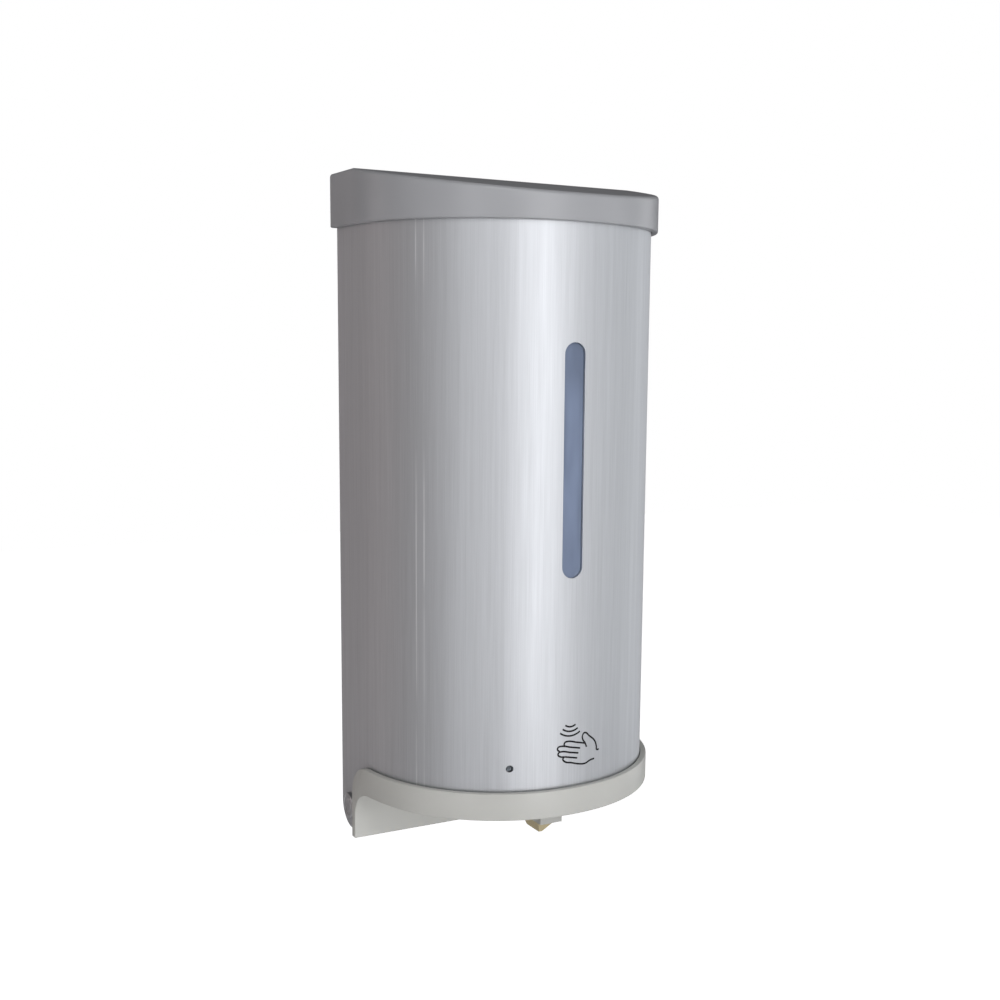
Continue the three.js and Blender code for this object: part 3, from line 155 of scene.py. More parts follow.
class FinishColours(bpy.types.PropertyGroup):
    steel: colour("Steel", "Brushed stainless sheet", "#c9cbce")
    cap: colour("Cap", "Silver-grey moulding", "#a0a1a4")
    bezel: colour("Bezel", "Pale grey moulding", "#bfbfba")
    lens: colour("Lens", "Tinted window", "#8a97b0")
    inner: colour("Inside", "Light grey inner mouldings", "#d3d5d4")
    tank: colour("Tank", "Milky tank", "#e4e8ea")
    rubber: colour("Nozzle", "Tan silicone", "#c2b48e")
    ink: colour("Ink", "Printed symbol", "#060607")


class StageSettings(bpy.types.PropertyGroup):
    azimuth: FloatProperty(name="Azimuth", description="Camera's turn to the left of the front",
                           default=0.525, subtype="ANGLE")
    elevation: FloatProperty(name="Elevation", description="Camera's height above level",
                             default=0.1461, subtype="ANGLE")
    roll: FloatProperty(name="Roll", description="Camera's turn about its own axis",
                        default=0.0144, subtype="ANGLE")
    lens: FloatProperty(name="Focal length", description="In millimetres, on a 36 mm sensor",
                        default=48.63, min=10, max=200)
    backdrop: colour("Backdrop", "Floor and surroundings", "#ffffff")
    reflections: FloatProperty(name="Surroundings", default=0.05, min=0,
                               description="Brightness of the room that the object reflects")


# ---------------------------------------------------------------- nodes

def add(tree, kind, *values, sockets=None, **settings):
    """Adds a node, sets its own settings, and sets or links its inputs by place or by name.
    A kind may end in a colon and the node's operation."""
    kind, _, operation = kind.partition(":")
    node = tree.nodes.new(kind)
    if operation:
        node.operation = operation
    for key, value in settings.items():
        setattr(node, key, value)
    for key, value in [*enumerate(values), *(sockets or {}).items()]:
        if value is None:
            continue
        if isinstance(value, bpy.types.Node):
            value = value.outputs[0]
        if isinstance(value, bpy.types.NodeSocket):
            tree.links.new(value, node.inputs[key])
        else:
            node.inputs[key].default_value = value
    return node


def new_tree(name, sizes):
    """A geometry tree with named inputs, given as (label, socket type)."""
    tree = bpy.data.node_groups.new(name, "GeometryNodeTree")
    tree.interface.new_socket("Geometry", in_out="INPUT", socket_type="NodeSocketGeometry")
    for label, kind in sizes:
        tree.interface.new_socket(label, in_out="INPUT", socket_type="NodeSocket" + kind)
    tree.interface.new_socket("Geometry", in_out="OUTPUT", socket_type="NodeSocketGeometry")
    return tree, tree.nodes.new("NodeGroupInput").outputs


def end_tree(tree, geometry, material):
    real = add(tree, "GeometryNodeRealizeInstances", geometry)
    done = add(tree, "GeometryNodeSetMaterial", real, sockets={"Material": material})
    add(tree, "NodeGroupOutput", done)


def grown(name, base, tree, values, material):
    """Runs a geometry tree on a base mesh or curve, and returns its result as a plain mesh."""
    source = bpy.data.objects.new(name + "_source", base)
    bpy.context.scene.collection.objects.link(source)
    modifier = source.modifiers.new("grow", "NODES")
    modifier.node_group = tree
    keys = {item.name: item.identifier for item in tree.interface.items_tree
            if item.in_out == "INPUT"}
    for label, value in values.items():
        modifier[keys[label]] = value
    evaluated = source.evaluated_get(bpy.context.evaluated_depsgraph_get())
    mesh = bpy.data.meshes.new_from_object(evaluated)
    source.modifiers.clear()
    bpy.data.objects.remove(source)
    if not len(mesh.polygons):
        raise RuntimeError(f"{name} came out empty")
    mesh.name = name
    piece = bpy.data.objects.new(name, mesh)
    bpy.context.scene.collection.objects.link(piece)
    mesh.materials.clear()
    mesh.materials.append(material)
    return piece


# ---------------------------------------------------------------- meshes

def made(name, points, faces):
    """A closed piece from points in millimetres above the bezel's lower edge."""
    mesh = bpy.data.meshes.new(name)
    mesh.from_pydata(points, [], faces)
    work = bmesh.new()
    work.from_mesh(mesh)
    bmesh.ops.remove_doubles(work, verts=work.verts, dist=1e-4)
    bmesh.ops.recalc_face_normals(work, faces=work.faces)
    work.to_mesh(mesh)
    work.free()
    mesh.transform(TO_FRAME)
    piece = bpy.data.objects.new(name, mesh)
    bpy.context.scene.collection.objects.link(piece)
    return piece


def loft(name, rings):
    """Joins closed rings of equal count, and closes the first and the last."""
    count = len(rings[0])
    points = [p for ring in rings for p in ring]
    faces = [tuple(range(count)), tuple(range(len(points) - count, len(points)))]
    for k in range(len(rings) - 1):
        a, b = k * count, (k + 1) * count
        faces += [(a + i, a + (i + 1) % count, b + (i + 1) % count, b + i)
                  for i in range(count)]
    return made(name, points, faces)


def prism(name, shape, near, far, plane):
    """A flat shape pushed between two places: plan shapes go up, side and front ones across."""
    place = {"plan": lambda a, b, d: (a, b, d), "side": lambda a, b, d: (d, a, b),
             "front": lambda a, b, d: (a, d, b)}[plane]
    return loft(name, [[place(a, b, d) for a, b in shape] for d in (near, far)])


def turned(name, profile, place, segments=48):
    """Spins a closed (radius, along) profile about its own axis, then puts it in place."""
    rings = [[place(r * math.cos(t), r * math.sin(t), h) for r, h in profile]
             for t in (2 * math.pi * k / segments for k in range(segments))]
    points = [p for ring in rings for p in ring]
    n, faces = len(profile), []
    for k in range(segments):
        a, b = k * n, (k + 1) % segments * n
        faces += [(a + i, a + (i + 1) % n, b + (i + 1) % n, b + i) for i in range(n)]
    return made(name, points, faces)


def arc(cx, cy, radius, start, end, steps):
    """Points along an arc, with its ends, from angles in degrees."""
    angles = [math.radians(start + (end - start) * i / steps) for i in range(steps + 1)]
    return [(cx + radius * math.cos(a), cy + radius * math.sin(a)) for a in angles]


def box_shape(left, right, bottom, top, radius=0, steps=6):
    if not radius:
        return [(left, bottom), (right, bottom), (right, top), (left, top)]
    corners = ((right - radius, top - radius, 0), (left + radius, top - radius, 90),
               (left + radius, bottom + radius, 180), (right - radius, bottom + radius, 270))
    return [p for x, y, a in corners for p in arc(x, y, radius, a, a + 90, steps)]


def settled(piece):
    """Keeps the mesh that the piece's modifiers make, and drops the modifiers."""
    mesh = bpy.data.meshes.new_from_object(
        piece.evaluated_get(bpy.context.evaluated_depsgraph_get()))
    piece.modifiers.clear()
    old, piece.data = piece.data, mesh
    bpy.data.meshes.remove(old)
    mesh.name = piece.name
    return piece


def carved(piece, *tools, operation="DIFFERENCE"):
    """Cuts each tool from the piece, or keeps only what is inside the tools."""
    for tool in tools:
        modifier = piece.modifiers.new("carve", "BOOLEAN")
        modifier.object, modifier.operation, modifier.solver = tool, operation, "EXACT"
        bpy.context.view_layer.update()
        settled(piece)
        old = tool.data
        bpy.data.objects.remove(tool)
        bpy.data.meshes.remove(old)
    if not len(piece.data.polygons):
        raise RuntimeError(f"nothing is left of {piece.name}")
    return piece


def softened(piece, radius, segments=3, angle=40):
    """Rounds the piece's edges."""
    modifier = piece.modifiers.new("edges", "BEVEL")
    modifier.width, modifier.segments = radius * MM, segments
    modifier.limit_method, modifier.angle_limit = "ANGLE", math.radians(angle)
    modifier.use_clamp_overlap = False
    modifier.miter_outer = "MITER_ARC"
    bpy.context.view_layer.update()
    return settled(piece)


def dressed(piece, material, body, nodes, flat_over=100, crease=32):
    """Gives a finished piece its shading and material, puts it under its body and hides the
    nodes it stands for.
    """
    work = bmesh.new()
    work.from_mesh(piece.data)
    bmesh.ops.dissolve_degenerate(work, edges=work.edges, dist=1e-7)
    for face in work.faces:
        face.smooth = face.calc_area() < flat_over * MM * MM
        face.material_index = 0
    for edge in work.edges:
        edge.smooth = edge.calc_face_angle(math.pi) < math.radians(crease)
    work.to_mesh(piece.data)
    work.free()
    piece.data.materials.clear()
    piece.data.materials.append(material)
    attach(piece, body)
    if nodes:
        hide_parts(*nodes)
    return piece


def joined(name, pieces):
    """One object from several."""
    work = bmesh.new()
    for piece in pieces:
        work.from_mesh(piece.data)
        old = piece.data
        bpy.data.objects.remove(piece)
        bpy.data.meshes.remove(old)
    mesh = bpy.data.meshes.new(name)
    work.to_mesh(mesh)
    work.free()
    piece = bpy.data.objects.new(name, mesh)
    bpy.context.scene.collection.objects.link(piece)
    return piece


# ---------------------------------------------------------------- plan of the cover

def millimetres(group, label):
    return getattr(group, label) / MM


def front_point(sizes, angle, grow):
    """A point of the front by its angle from the left side; grow moves it outwards."""
    n, wide, deep = (sizes.squareness, millimetres(sizes, "half_width"),
                     millimetres(sizes, "bulge"))
    c, s = math.cos(angle), math.sin(angle)
    across = -math.copysign(abs(c) ** (2 / n), c)
    ahead = abs(s) ** (2 / n)
    normal = Vector((math.copysign(abs(across) ** (n - 1), across) / wide,
                     -ahead ** (n - 1) / deep)).normalized()
    return (wide * across + grow * normal.x,
            -millimetres(sizes, "side_depth") - deep * ahead + grow * normal.y)


def cover_path(sizes, grow, rear):
    """The outline from the left rear edge round the front to the right rear edge."""
    wide = millimetres(sizes, "half_width") + grow
    front = [front_point(sizes, math.pi * i / sizes.steps, grow)
             for i in range(sizes.steps + 1)]
    return [(-wide, rear), *front, (wide, rear)]


def above_cove(lift, top):
    """Everything above the bezel's coved underside, in side view, moved up and back."""
    middle, height, radius = COVE
    return [(1, -1), (middle + radius + lift, -1),
            *arc(middle, height, radius + lift, 0, 90, 16),
            (BEYOND, height + radius + lift), (BEYOND, top), (1, top)]


# ---------------------------------------------------------------- the wrap

def wrap_tree(sizes, columns, rows):
    """A sheet that follows the cover's plan between two angles and two heights."""
    labels = ("Half width", "Side depth", "Bulge", "Squareness", "Offset", "Thickness",
              "From", "To", "Low", "High")
    tree, size = new_tree("sheet_round_the_cover",
                          [(label, "Float") for label in labels] + [("Material", "Material")])
    grid = add(tree, "GeometryNodeMeshGrid", 1.0, 1.0, columns, rows)
    spot = add(tree, "ShaderNodeSeparateXYZ", add(tree, "GeometryNodeInputPosition"))

    across, up = (add(tree, "ShaderNodeMapRange", spot.outputs[k], -0.5, 0.5, size[a], size[b])
                  for k, a, b in (("X", "From", "To"), ("Y", "Low", "High")))
    # the angle round the front, and how far past it along a straight side
    bend = add(tree, "ShaderNodeMath:MINIMUM",
               add(tree, "ShaderNodeMath:MAXIMUM", across, 0.0), math.pi)
    past = add(tree, "ShaderNodeMath:ABSOLUTE",
               add(tree, "ShaderNodeMath:SUBTRACT", across, bend))
    straight = add(tree, "ShaderNodeMath:MULTIPLY", past, size["Half width"])
    # shares of the half width and of the bulge
    cosine = add(tree, "ShaderNodeMath:COSINE", bend)
    sine = add(tree, "ShaderNodeMath:SINE", bend)
    power = add(tree, "ShaderNodeMath:DIVIDE", 2.0, size["Squareness"])
    side = add(tree, "ShaderNodeMath:MULTIPLY", add(tree, "ShaderNodeMath:SIGN", cosine), -1.0)
    wide = add(tree, "ShaderNodeMath:MULTIPLY", side,
               add(tree, "ShaderNodeMath:POWER",
                   add(tree, "ShaderNodeMath:ABSOLUTE", cosine), power))
    ahead = add(tree, "ShaderNodeMath:POWER",
                add(tree, "ShaderNodeMath:ABSOLUTE", sine), power)
    # the way outwards, square to the curve
    steep = add(tree, "ShaderNodeMath:SUBTRACT", size["Squareness"], 1.0)
    lean = add(tree, "ShaderNodeMath:POWER", add(tree, "ShaderNodeMath:ABSOLUTE", wide), steep)
    out_x = add(tree, "ShaderNodeMath:DIVIDE",
                add(tree, "ShaderNodeMath:MULTIPLY", side, lean), size["Half width"])
    out_y = add(tree, "ShaderNodeMath:DIVIDE",
                add(tree, "ShaderNodeMath:MULTIPLY",
                    add(tree, "ShaderNodeMath:POWER", ahead, steep), -1.0), size["Bulge"])
    normal = add(tree, "ShaderNodeVectorMath:NORMALIZE",
                 add(tree, "ShaderNodeCombineXYZ", out_x, out_y))
    depth = add(tree, "ShaderNodeMath:ADD",
                add(tree, "ShaderNodeMath:MULTIPLY", ahead, size["Bulge"]), size["Side depth"])
    surface = add(tree, "ShaderNodeCombineXYZ",
                  add(tree, "ShaderNodeMath:MULTIPLY", wide, size["Half width"]),
                  add(tree, "ShaderNodeMath:SUBTRACT", straight, depth), up)
    uv = add(tree, "ShaderNodeCombineXYZ",
             add(tree, "ShaderNodeMath:MULTIPLY", across, size["Half width"]), up)
    marked = add(tree, "GeometryNodeStoreNamedAttribute", grid, None, SHEET_UV, uv,
                 data_type="FLOAT2", domain="CORNER")
    skins = []
    for inset in (0.0, size["Thickness"]):
        out = add(tree, "ShaderNodeVectorMath:SCALE", normal, sockets={
            "Scale": add(tree, "ShaderNodeMath:SUBTRACT", size["Offset"], inset)})
        moved = add(tree, "ShaderNodeVectorMath:ADD", surface, out)
        skins.append(add(tree, "GeometryNodeSetPosition", marked, sockets={"Position": moved}))
    return tree, skins, size


def wrapped(name, sizes, material, start, end, foot, head, offset, thickness, columns, rows):
    """A sheet of the given thickness that follows the cover, closed along its edges."""
    tree, skins, size = wrap_tree(sizes, columns, rows)
    back = add(tree, "GeometryNodeFlipFaces", skins[1])
    both = add(tree, "GeometryNodeJoinGeometry")
    tree.links.new(skins[0].outputs[0], both.inputs[0])
    tree.links.new(back.outputs[0], both.inputs[0])
    end_tree(tree, both, size["Material"])
    rise = RISE * MM
    piece = grown(name, bpy.data.meshes.new(name + "_base"), tree, {
        "Half width": sizes.half_width, "Side depth": sizes.side_depth, "Bulge": sizes.bulge,
        "Squareness": sizes.squareness, "Offset": offset * MM, "Thickness": thickness * MM,
        "From": start, "To": end, "Low": foot * MM - rise, "High": head * MM - rise,
        "Material": material}, material)
    work = bmesh.new()
    work.from_mesh(piece.data)
    edges = [e for e in work.edges if e.is_boundary]
    bmesh.ops.bridge_loops(work, edges=edges)
    bmesh.ops.recalc_face_normals(work, faces=work.faces)
    work.to_mesh(piece.data)
    work.free()
    return piece


# ---------------------------------------------------------------- materials

def new_material(name, **sockets):
    """A material with one Principled shader; sockets take constants now or links later."""
    material = bpy.data.materials.new(name)
    material.use_nodes = True
    tree = material.node_tree
    tree.nodes.clear()
    surface = add(tree, "ShaderNodeBsdfPrincipled",
                  sockets={key.replace("_", " "): value for key, value in sockets.items()})
    add(tree, "ShaderNodeOutputMaterial", surface)
    return material, tree, surface.inputs


def object_place(tree, across=1, deep=1, up=1):
    """The place on the piece, with each direction scaled."""
    place = add(tree, "ShaderNodeTexCoord").outputs["Object"]
    return add(tree, "ShaderNodeMapping", place, sockets={"Scale": (across, deep, up)})


def shaded(tree, pattern, base, darkest, lightest):
    """A colour that drifts between two shares of itself, with a noise pattern."""
    share = add(tree, "ShaderNodeMapRange", pattern, 0.3, 0.7)
    blend = add(tree, "ShaderNodeMix", data_type="RGBA", sockets={
        "Factor": share, 6: tinted(base, darkest), 7: tinted(base, lightest)})
    return blend.outputs[2]


def tinted(base, share):
    """A colour made darker or lighter, by a share of itself."""
    return tuple(min(1, c * share) for c in base[:3]) + (1,)


def brushed_stainless(base):
    """Stainless sheet, belt-brushed up and down: long fine scratches that draw each
    reflection out sideways, with broader streaks where the belt bit harder."""
    material, tree, into = new_material("stainless_sheet_brushed", Metallic=1.0,
                                        Anisotropic=0.72)
    uv = add(tree, "ShaderNodeUVMap", uv_map=SHEET_UV)
    # real scratches are about 0.05 mm wide; drawn 0.35 mm wide to show
    fine, broad, cloud = (
        add(tree, "ShaderNodeTexNoise",
            add(tree, "ShaderNodeMapping", uv, sockets={"Scale": (wide, tall, 1)}),
            sockets={"Scale": 1.0, "Detail": detail, "Roughness": 0.6})
        for wide, tall, detail in ((2800, 26, 3.0), (420, 6, 2.0), (40, 22, 2.0)))
    mixed = add(tree, "ShaderNodeMath:ADD",
                add(tree, "ShaderNodeMath:MULTIPLY", fine, 0.6),
                add(tree, "ShaderNodeMath:MULTIPLY", broad, 0.4))
    streaked = shaded(tree, mixed, base, 0.90, 1.05)
    # two bright lines painted down the left as reflections of the bend, in metres round from
    # the side's front edge
    spot = add(tree, "ShaderNodeSeparateXYZ", uv)
    lines = None
    for place in (0.0346, 0.0382):
        away = add(tree, "ShaderNodeMath:ABSOLUTE",
                   add(tree, "ShaderNodeMath:SUBTRACT", spot, place))
        line = add(tree, "ShaderNodeMapRange", away, 0.00012, 0.0004, 1.0, 0.0)
        lines = add(tree, "ShaderNodeMath:MAXIMUM", line, lines) if lines else line
    # painted reflection: the lines come and go with a cloud pattern and are blended towards
    # white
    painted_reflection = add(tree, "ShaderNodeMath:MULTIPLY", lines,
               add(tree, "ShaderNodeMapRange", cloud, 0.42, 0.62, 0.0, 0.4))
    blend = add(tree, "ShaderNodeMix", data_type="RGBA",
                sockets={"Factor": painted_reflection, 6: streaked, 7: (1, 1, 1, 1)})
    tree.links.new(blend.outputs[2], into["Base Color"])
    rough = add(tree, "ShaderNodeMath:ADD",
                add(tree, "ShaderNodeMapRange", mixed, 0.3, 0.7, 0.46, 0.40),
                add(tree, "ShaderNodeMapRange", painted_reflection, 0.0, 1.0, 0.0, 0.25))
    tree.links.new(rough.outputs[0], into["Roughness"])
    along = add(tree, "ShaderNodeTangent", direction_type="UV_MAP", uv_map=SHEET_UV)
    tree.links.new(along.outputs[0], into["Tangent"])
    bump = add(tree, "ShaderNodeBump", sockets={"Strength": 0.16, "Distance": 0.00002,
                                                "Height": fine})
    tree.links.new(bump.outputs[0], into["Normal"])
    return material


def moulded(name, base, roughness, grain=0.35, depth=0.02, ior=1.53, spread=0.05, **more):
    """A moulding: even colour with a faint drift, and a fine spark-eroded grain. Grain and
    depth are in millimetres; the real grain is nearer 0.1, too fine to show."""
    material, tree, into = new_material(name, IOR=ior, **more)
    drift = add(tree, "ShaderNodeTexNoise", object_place(tree),
                sockets={"Scale": 22.0, "Detail": 2.0})
    speck = add(tree, "ShaderNodeTexNoise", object_place(tree),
                sockets={"Scale": 1 / (grain * MM), "Detail": 2.0})
    rough = add(tree, "ShaderNodeMapRange", drift, 0.3, 0.7, roughness + 0.03,
                roughness - 0.03)
    bump = add(tree, "ShaderNodeBump",
               sockets={"Strength": 0.25, "Distance": depth * MM, "Height": speck})
    tree.links.new(shaded(tree, drift, base, 1 - spread, 1 + spread), into["Base Color"])
    tree.links.new(rough.outputs[0], into["Roughness"])
    tree.links.new(bump.outputs[0], into["Normal"])
    return material


def metal(name, base, roughness, across, deep, up, strength=0.1):
    """A machined or drawn metal: tool marks run the way its scale is smallest. The scales are
    marks for each metre in that direction."""
    material, tree, into = new_material(name, Metallic=1.0)
    marks = add(tree, "ShaderNodeTexNoise", object_place(tree, across, deep, up),
                sockets={"Scale": 1.0, "Detail": 3.0})
    rough = add(tree, "ShaderNodeMapRange", marks, 0.3, 0.7, roughness + 0.06,
                roughness - 0.04)
    bump = add(tree, "ShaderNodeBump",
               sockets={"Strength": strength, "Distance": 0.01 * MM, "Height": marks})
    tree.links.new(shaded(tree, marks, base, 0.93, 1.03), into["Base Color"])
    tree.links.new(rough.outputs[0], into["Roughness"])
    tree.links.new(bump.outputs[0], into["Normal"])
    return material


def tinted_acrylic(base):
    """Cast acrylic tinted blue-grey: deep colour, a clear gloss, faint swirls inside."""
    material, tree, into = new_material("acrylic_tinted_polished", IOR=1.49, Roughness=0.08,
                                        Transmission_Weight=0.25)
    swirl = add(tree, "ShaderNodeTexNoise", object_place(tree, 120, 120, 28),
                sockets={"Scale": 1.0, "Detail": 2.0})
    tree.links.new(shaded(tree, swirl, base, 0.82, 1.15), into["Base Color"])
    return material


def sleeved_cell(base):
    """Alkaline cell: a dark printed sleeve with a copper-coloured band at the top end."""
    material, tree, into = new_material("cell_sleeve_printed_film", IOR=1.5)
    band_height = 15 * MM
    band_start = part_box("battery_cell_1")[1].z - band_height
    place = add(tree, "ShaderNodeSeparateXYZ", object_place(tree))
    band = add(tree, "ShaderNodeMath:GREATER_THAN", place.outputs["Z"], band_start)
    film = add(tree, "ShaderNodeTexNoise", object_place(tree),
               sockets={"Scale": 300.0, "Detail": 2.0})
    blend = add(tree, "ShaderNodeMix", data_type="RGBA", sockets={
        "Factor": band, 6: shaded(tree, film, base, 0.85, 1.15), 7: linear("#b07a4a")})
    shine = add(tree, "ShaderNodeMath:MULTIPLY", band, 0.8)
    rough = add(tree, "ShaderNodeMapRange", film, 0.3, 0.7, 0.36, 0.26)
    tree.links.new(blend.outputs[2], into["Base Color"])
    tree.links.new(shine.outputs[0], into["Metallic"])
    tree.links.new(rough.outputs[0], into["Roughness"])
    return material


def solder_resist(base):
    """Circuit board: green solder resist over copper tracks that show as paler lines."""
    material, tree, into = new_material("circuit_board_solder_resist", IOR=1.55)
    cells = add(tree, "ShaderNodeTexVoronoi", object_place(tree, 1, 0, 1),
                distance="MANHATTAN", feature="F1", sockets={"Scale": 260.0})
    tracks = add(tree, "ShaderNodeTexBrick", object_place(tree, 200, 200, 200),
                 tinted(base, 1.5), tinted(base, 1.25), base,
                 sockets={"Scale": 1.0, "Mortar Size": 0.12})
    rough = add(tree, "ShaderNodeMapRange", cells, 0.0, 0.6, 0.25, 0.4)
    tree.links.new(tracks.outputs["Color"], into["Base Color"])
    tree.links.new(rough.outputs[0], into["Roughness"])
    return material


def build_finishes(colours):
    """Every finish, by the record's slot name."""
    return {
        "brushed_steel": brushed_stainless(tuple(colours.steel)),
        # satin silver-grey ABS: soft wide highlights, a little light and dark drift
        "cap_plastic": moulded("abs_silver_grey_moulded_satin", tuple(colours.cap), 0.36),
        # pale warm grey ABS with the same grain
        "bezel_plastic": moulded("abs_pale_grey_moulded_satin", tuple(colours.bezel), 0.42),
        "tinted_plastic": tinted_acrylic(tuple(colours.lens)),
        # clear resin: bright rim, sees through to the light behind
        "clear_resin": moulded("epoxy_clear_cast", linear("#dde6ee"), 0.08, 2.0, 0.01, 1.5,
                               0.02, Transmission_Weight=0.85),
        # bright zinc plate over turned steel
        "bright_steel": metal("steel_zinc_plated_turned", linear("#c8c9cb"), 0.32,
                              150, 150, 1500, 0.03),
        # bright chrome: mirror-like with hair-fine wiping marks
        "lock_chrome": metal("brass_chrome_plated_polished", linear("#d6d7da"), 0.12,
                             300, 1500, 300, 0.03),
        "inner_plastic": moulded("abs_light_grey_moulded_grained", tuple(colours.inner), 0.5,
                                 0.5, 0.04),
        # natural acetal: slightly waxy, light goes a little way in
        "gear_plastic": moulded("acetal_natural_moulded", linear("#eae8de"), 0.38, 0.6,
                                0.01, 1.48, 0.03),
        # milky polyethylene: dull sheen, light passes through and scatters
        "milky_plastic": moulded("polyethylene_milky_blow_moulded", tuple(colours.tank), 0.34,
                                 1.2, 0.06, 1.51, 0.03, Transmission_Weight=0.35),
        "grey_rubber": moulded("epdm_rubber_dark_grey_moulded", linear("#4a4b4d"), 0.75, 0.4,
                               0.03, 1.52),
        # tan silicone: dull, a little uneven where it has yellowed
        "tan_rubber": moulded("silicone_tan_moulded_dull", tuple(colours.rubber), 0.55, 0.7,
                              0.05, 1.43, 0.10),
        "dark_plastic": moulded("abs_black_moulded_grained", linear("#26272a"), 0.42, 0.4,
                                0.03),
        "cell_wrap": sleeved_cell(linear("#33363b")),
        "brass": metal("brass_hobbed", linear("#c2a45c"), 0.3, 400, 400, 2500),
        "motor_can": metal("steel_can_deep_drawn_plated", linear("#bcbdbf"), 0.3,
                           500, 500, 60),
        "board_green": solder_resist(linear("#2d6b46")),
        # screen ink: flat black with a slightly broken film
        "ink": moulded("screen_ink_black_printed", tuple(colours.ink), 0.8, 0.3, 0.01,
                       1.5, 0.2),
    }


# ---------------------------------------------------------------- the pieces

finishes = {}


class DISPENSER_OT_finishes(bpy.types.Operator):
    """Make every finish and put it on the CAD pieces that stay as they are"""
    bl_idname = "dispenser.finishes"
    bl_label = "Finishes"
    bl_options = {"REGISTER", "UNDO"}

    def execute(self, context):
        finishes.update(build_finishes(context.scene.dispenser_colours))
        slots = {part["node"]: part["material_slot"] for part in SUBPARTS}
        for name, node in frame["nodes"].items():
            node.data.materials.clear()
            node.data.materials.append(finishes[slots[name]])
        return {"FINISHED"}


class DISPENSER_OT_steel_cover(bpy.types.Operator):
    """Wrap the brushed sheet round the front and sides, and cut its window and holes"""
    bl_idname = "dispenser.steel_cover"
    bl_label = "Steel cover"
    bl_options = {"REGISTER", "UNDO"}

    def execute(self, context):
        sizes = context.scene.dispenser_cover
        fittings = context.scene.dispenser_fittings
        foot, head = low("steel_cover").z, high("steel_cover").z
        back = millimetres(sizes, "side_depth") - millimetres(sizes, "wall_gap")
        run = back / millimetres(sizes, "half_width")
        steel = finishes["brushed_steel"]
        cover = wrapped("brushed_cover", sizes, steel, -run, math.pi + run, foot, head, 0,
                        millimetres(sizes, "sheet"), 2 * sizes.steps + 1, 27)
        corner, pin_hole, rear, bottom = 10, 2.8, -1, 1
        side = [(rear, head + 1), *arc(*HINGE, corner, 0, -90, 12), (BEYOND, bottom),
                (BEYOND, head + 1)]
        slot_half = millimetres(fittings, "window_width") / 2
        top, bottom = (millimetres(fittings, k) for k in ("window_high", "window_low"))
        slot = [*arc(0, top - slot_half, slot_half, 0, 180, 16),
                *arc(0, bottom + slot_half, slot_half, 180, 360, 16)]
        light = arc(*STATUS_LIGHT, millimetres(fittings, "light_radius"), 0, 345, 23)
        pin = arc(*HINGE, pin_hole, 0, 345, 23)
        over_bezel_floor = 2.5
        carved(cover, prism("side_view", side, -REACH, REACH, "side"),
               prism("over_cove", above_cove(over_bezel_floor, head + 1), -REACH, REACH,
                     "side"), operation="INTERSECT")
        carved(cover, prism("slot", slot, BEYOND, -60, "front"),
               prism("light", light, BEYOND, -30, "front"),
               prism("pin", pin, -REACH, REACH, "side"))
        dressed(cover, steel, "cover", ["steel_cover"], flat_over=1e6)
        return {"FINISHED"}


class DISPENSER_OT_top_cap(bpy.types.Operator):
    """Mould the cap with its sloping roof, rounded edges and lock recess"""
    bl_idname = "dispenser.top_cap"
    bl_label = "Top cap"
    bl_options = {"REGISTER", "UNDO"}

    def execute(self, context):
        sizes = context.scene.dispenser_cover
        foot, head = low("top_cap").z, high("top_cap").z
        proud, edge = millimetres(sizes, "overhang"), millimetres(sizes, "cap_edge")
        crease, rear = (-millimetres(sizes, k) for k in ("side_depth", "wall_gap"))
        lip = 0.6                 # radius of the lower edge

        def roof(y, drop=0):
            return head - drop - sizes.roof_slope * max(0, crease - y)

        def ring(grow, height, rear):
            path = cover_path(sizes, grow, rear)
            return [(x, y, height(y)) for x, y in path]

        outer = [ring(proud - lip * (1 - math.sin(a)),
                      lambda y, a=a: foot + lip * (1 - math.cos(a)), rear)
                 for a in (math.radians(30 * k) for k in range(4))]
        outer += [ring(proud, lambda y, s=s: foot + lip + s * (roof(y) - edge - foot - lip),
                       rear) for s in (0.25, 0.5, 0.75)]
        outer += [ring(proud - edge * (1 - math.cos(a)),
                       lambda y, a=a: roof(y) - edge * (1 - math.sin(a)), rear)
                  for a in (math.radians(90 * k / 8) for k in range(9))]
        cap = self.roofed("moulded_cap", outer)
        gap, wall = millimetres(sizes, "gap"), millimetres(sizes, "cap_wall")
        inner = self.roofed("cap_inside", [
            ring(gap, lambda y: foot - 1, 2), ring(gap, lambda y: roof(y, wall), 2)])
        holes = [prism(name, arc(*LOCK, radius, 0, 352.5, 47), bottom, head + 1, "plan")
                 for name, radius, bottom in (("barrel_hole", 6.3, foot),
                                              ("flange_recess", 7.8, head - 1.2))]
        carved(cap, inner, *holes)
        dressed(cap, finishes["cap_plastic"], "cover", ["top_cap"])
        return {"FINISHED"}

    def roofed(self, name, rings):
        """Lofts the rings and closes the top with a level part and a sloping part."""
        count = len(rings[0])
        points = [p for ring in rings for p in ring]
        faces = [tuple(range(count))]
        for k in range(len(rings) - 1):
            a, b = k * count, (k + 1) * count
            faces += [(a + i, a + (i + 1) % count, b + (i + 1) % count, b + i)
                      for i in range(count)]
        top = len(points) - count
        faces += [(top, top + 1, top + count - 2, top + count - 1),
                  tuple(range(top + 1, top + count - 1))]
        return made(name, points, faces)


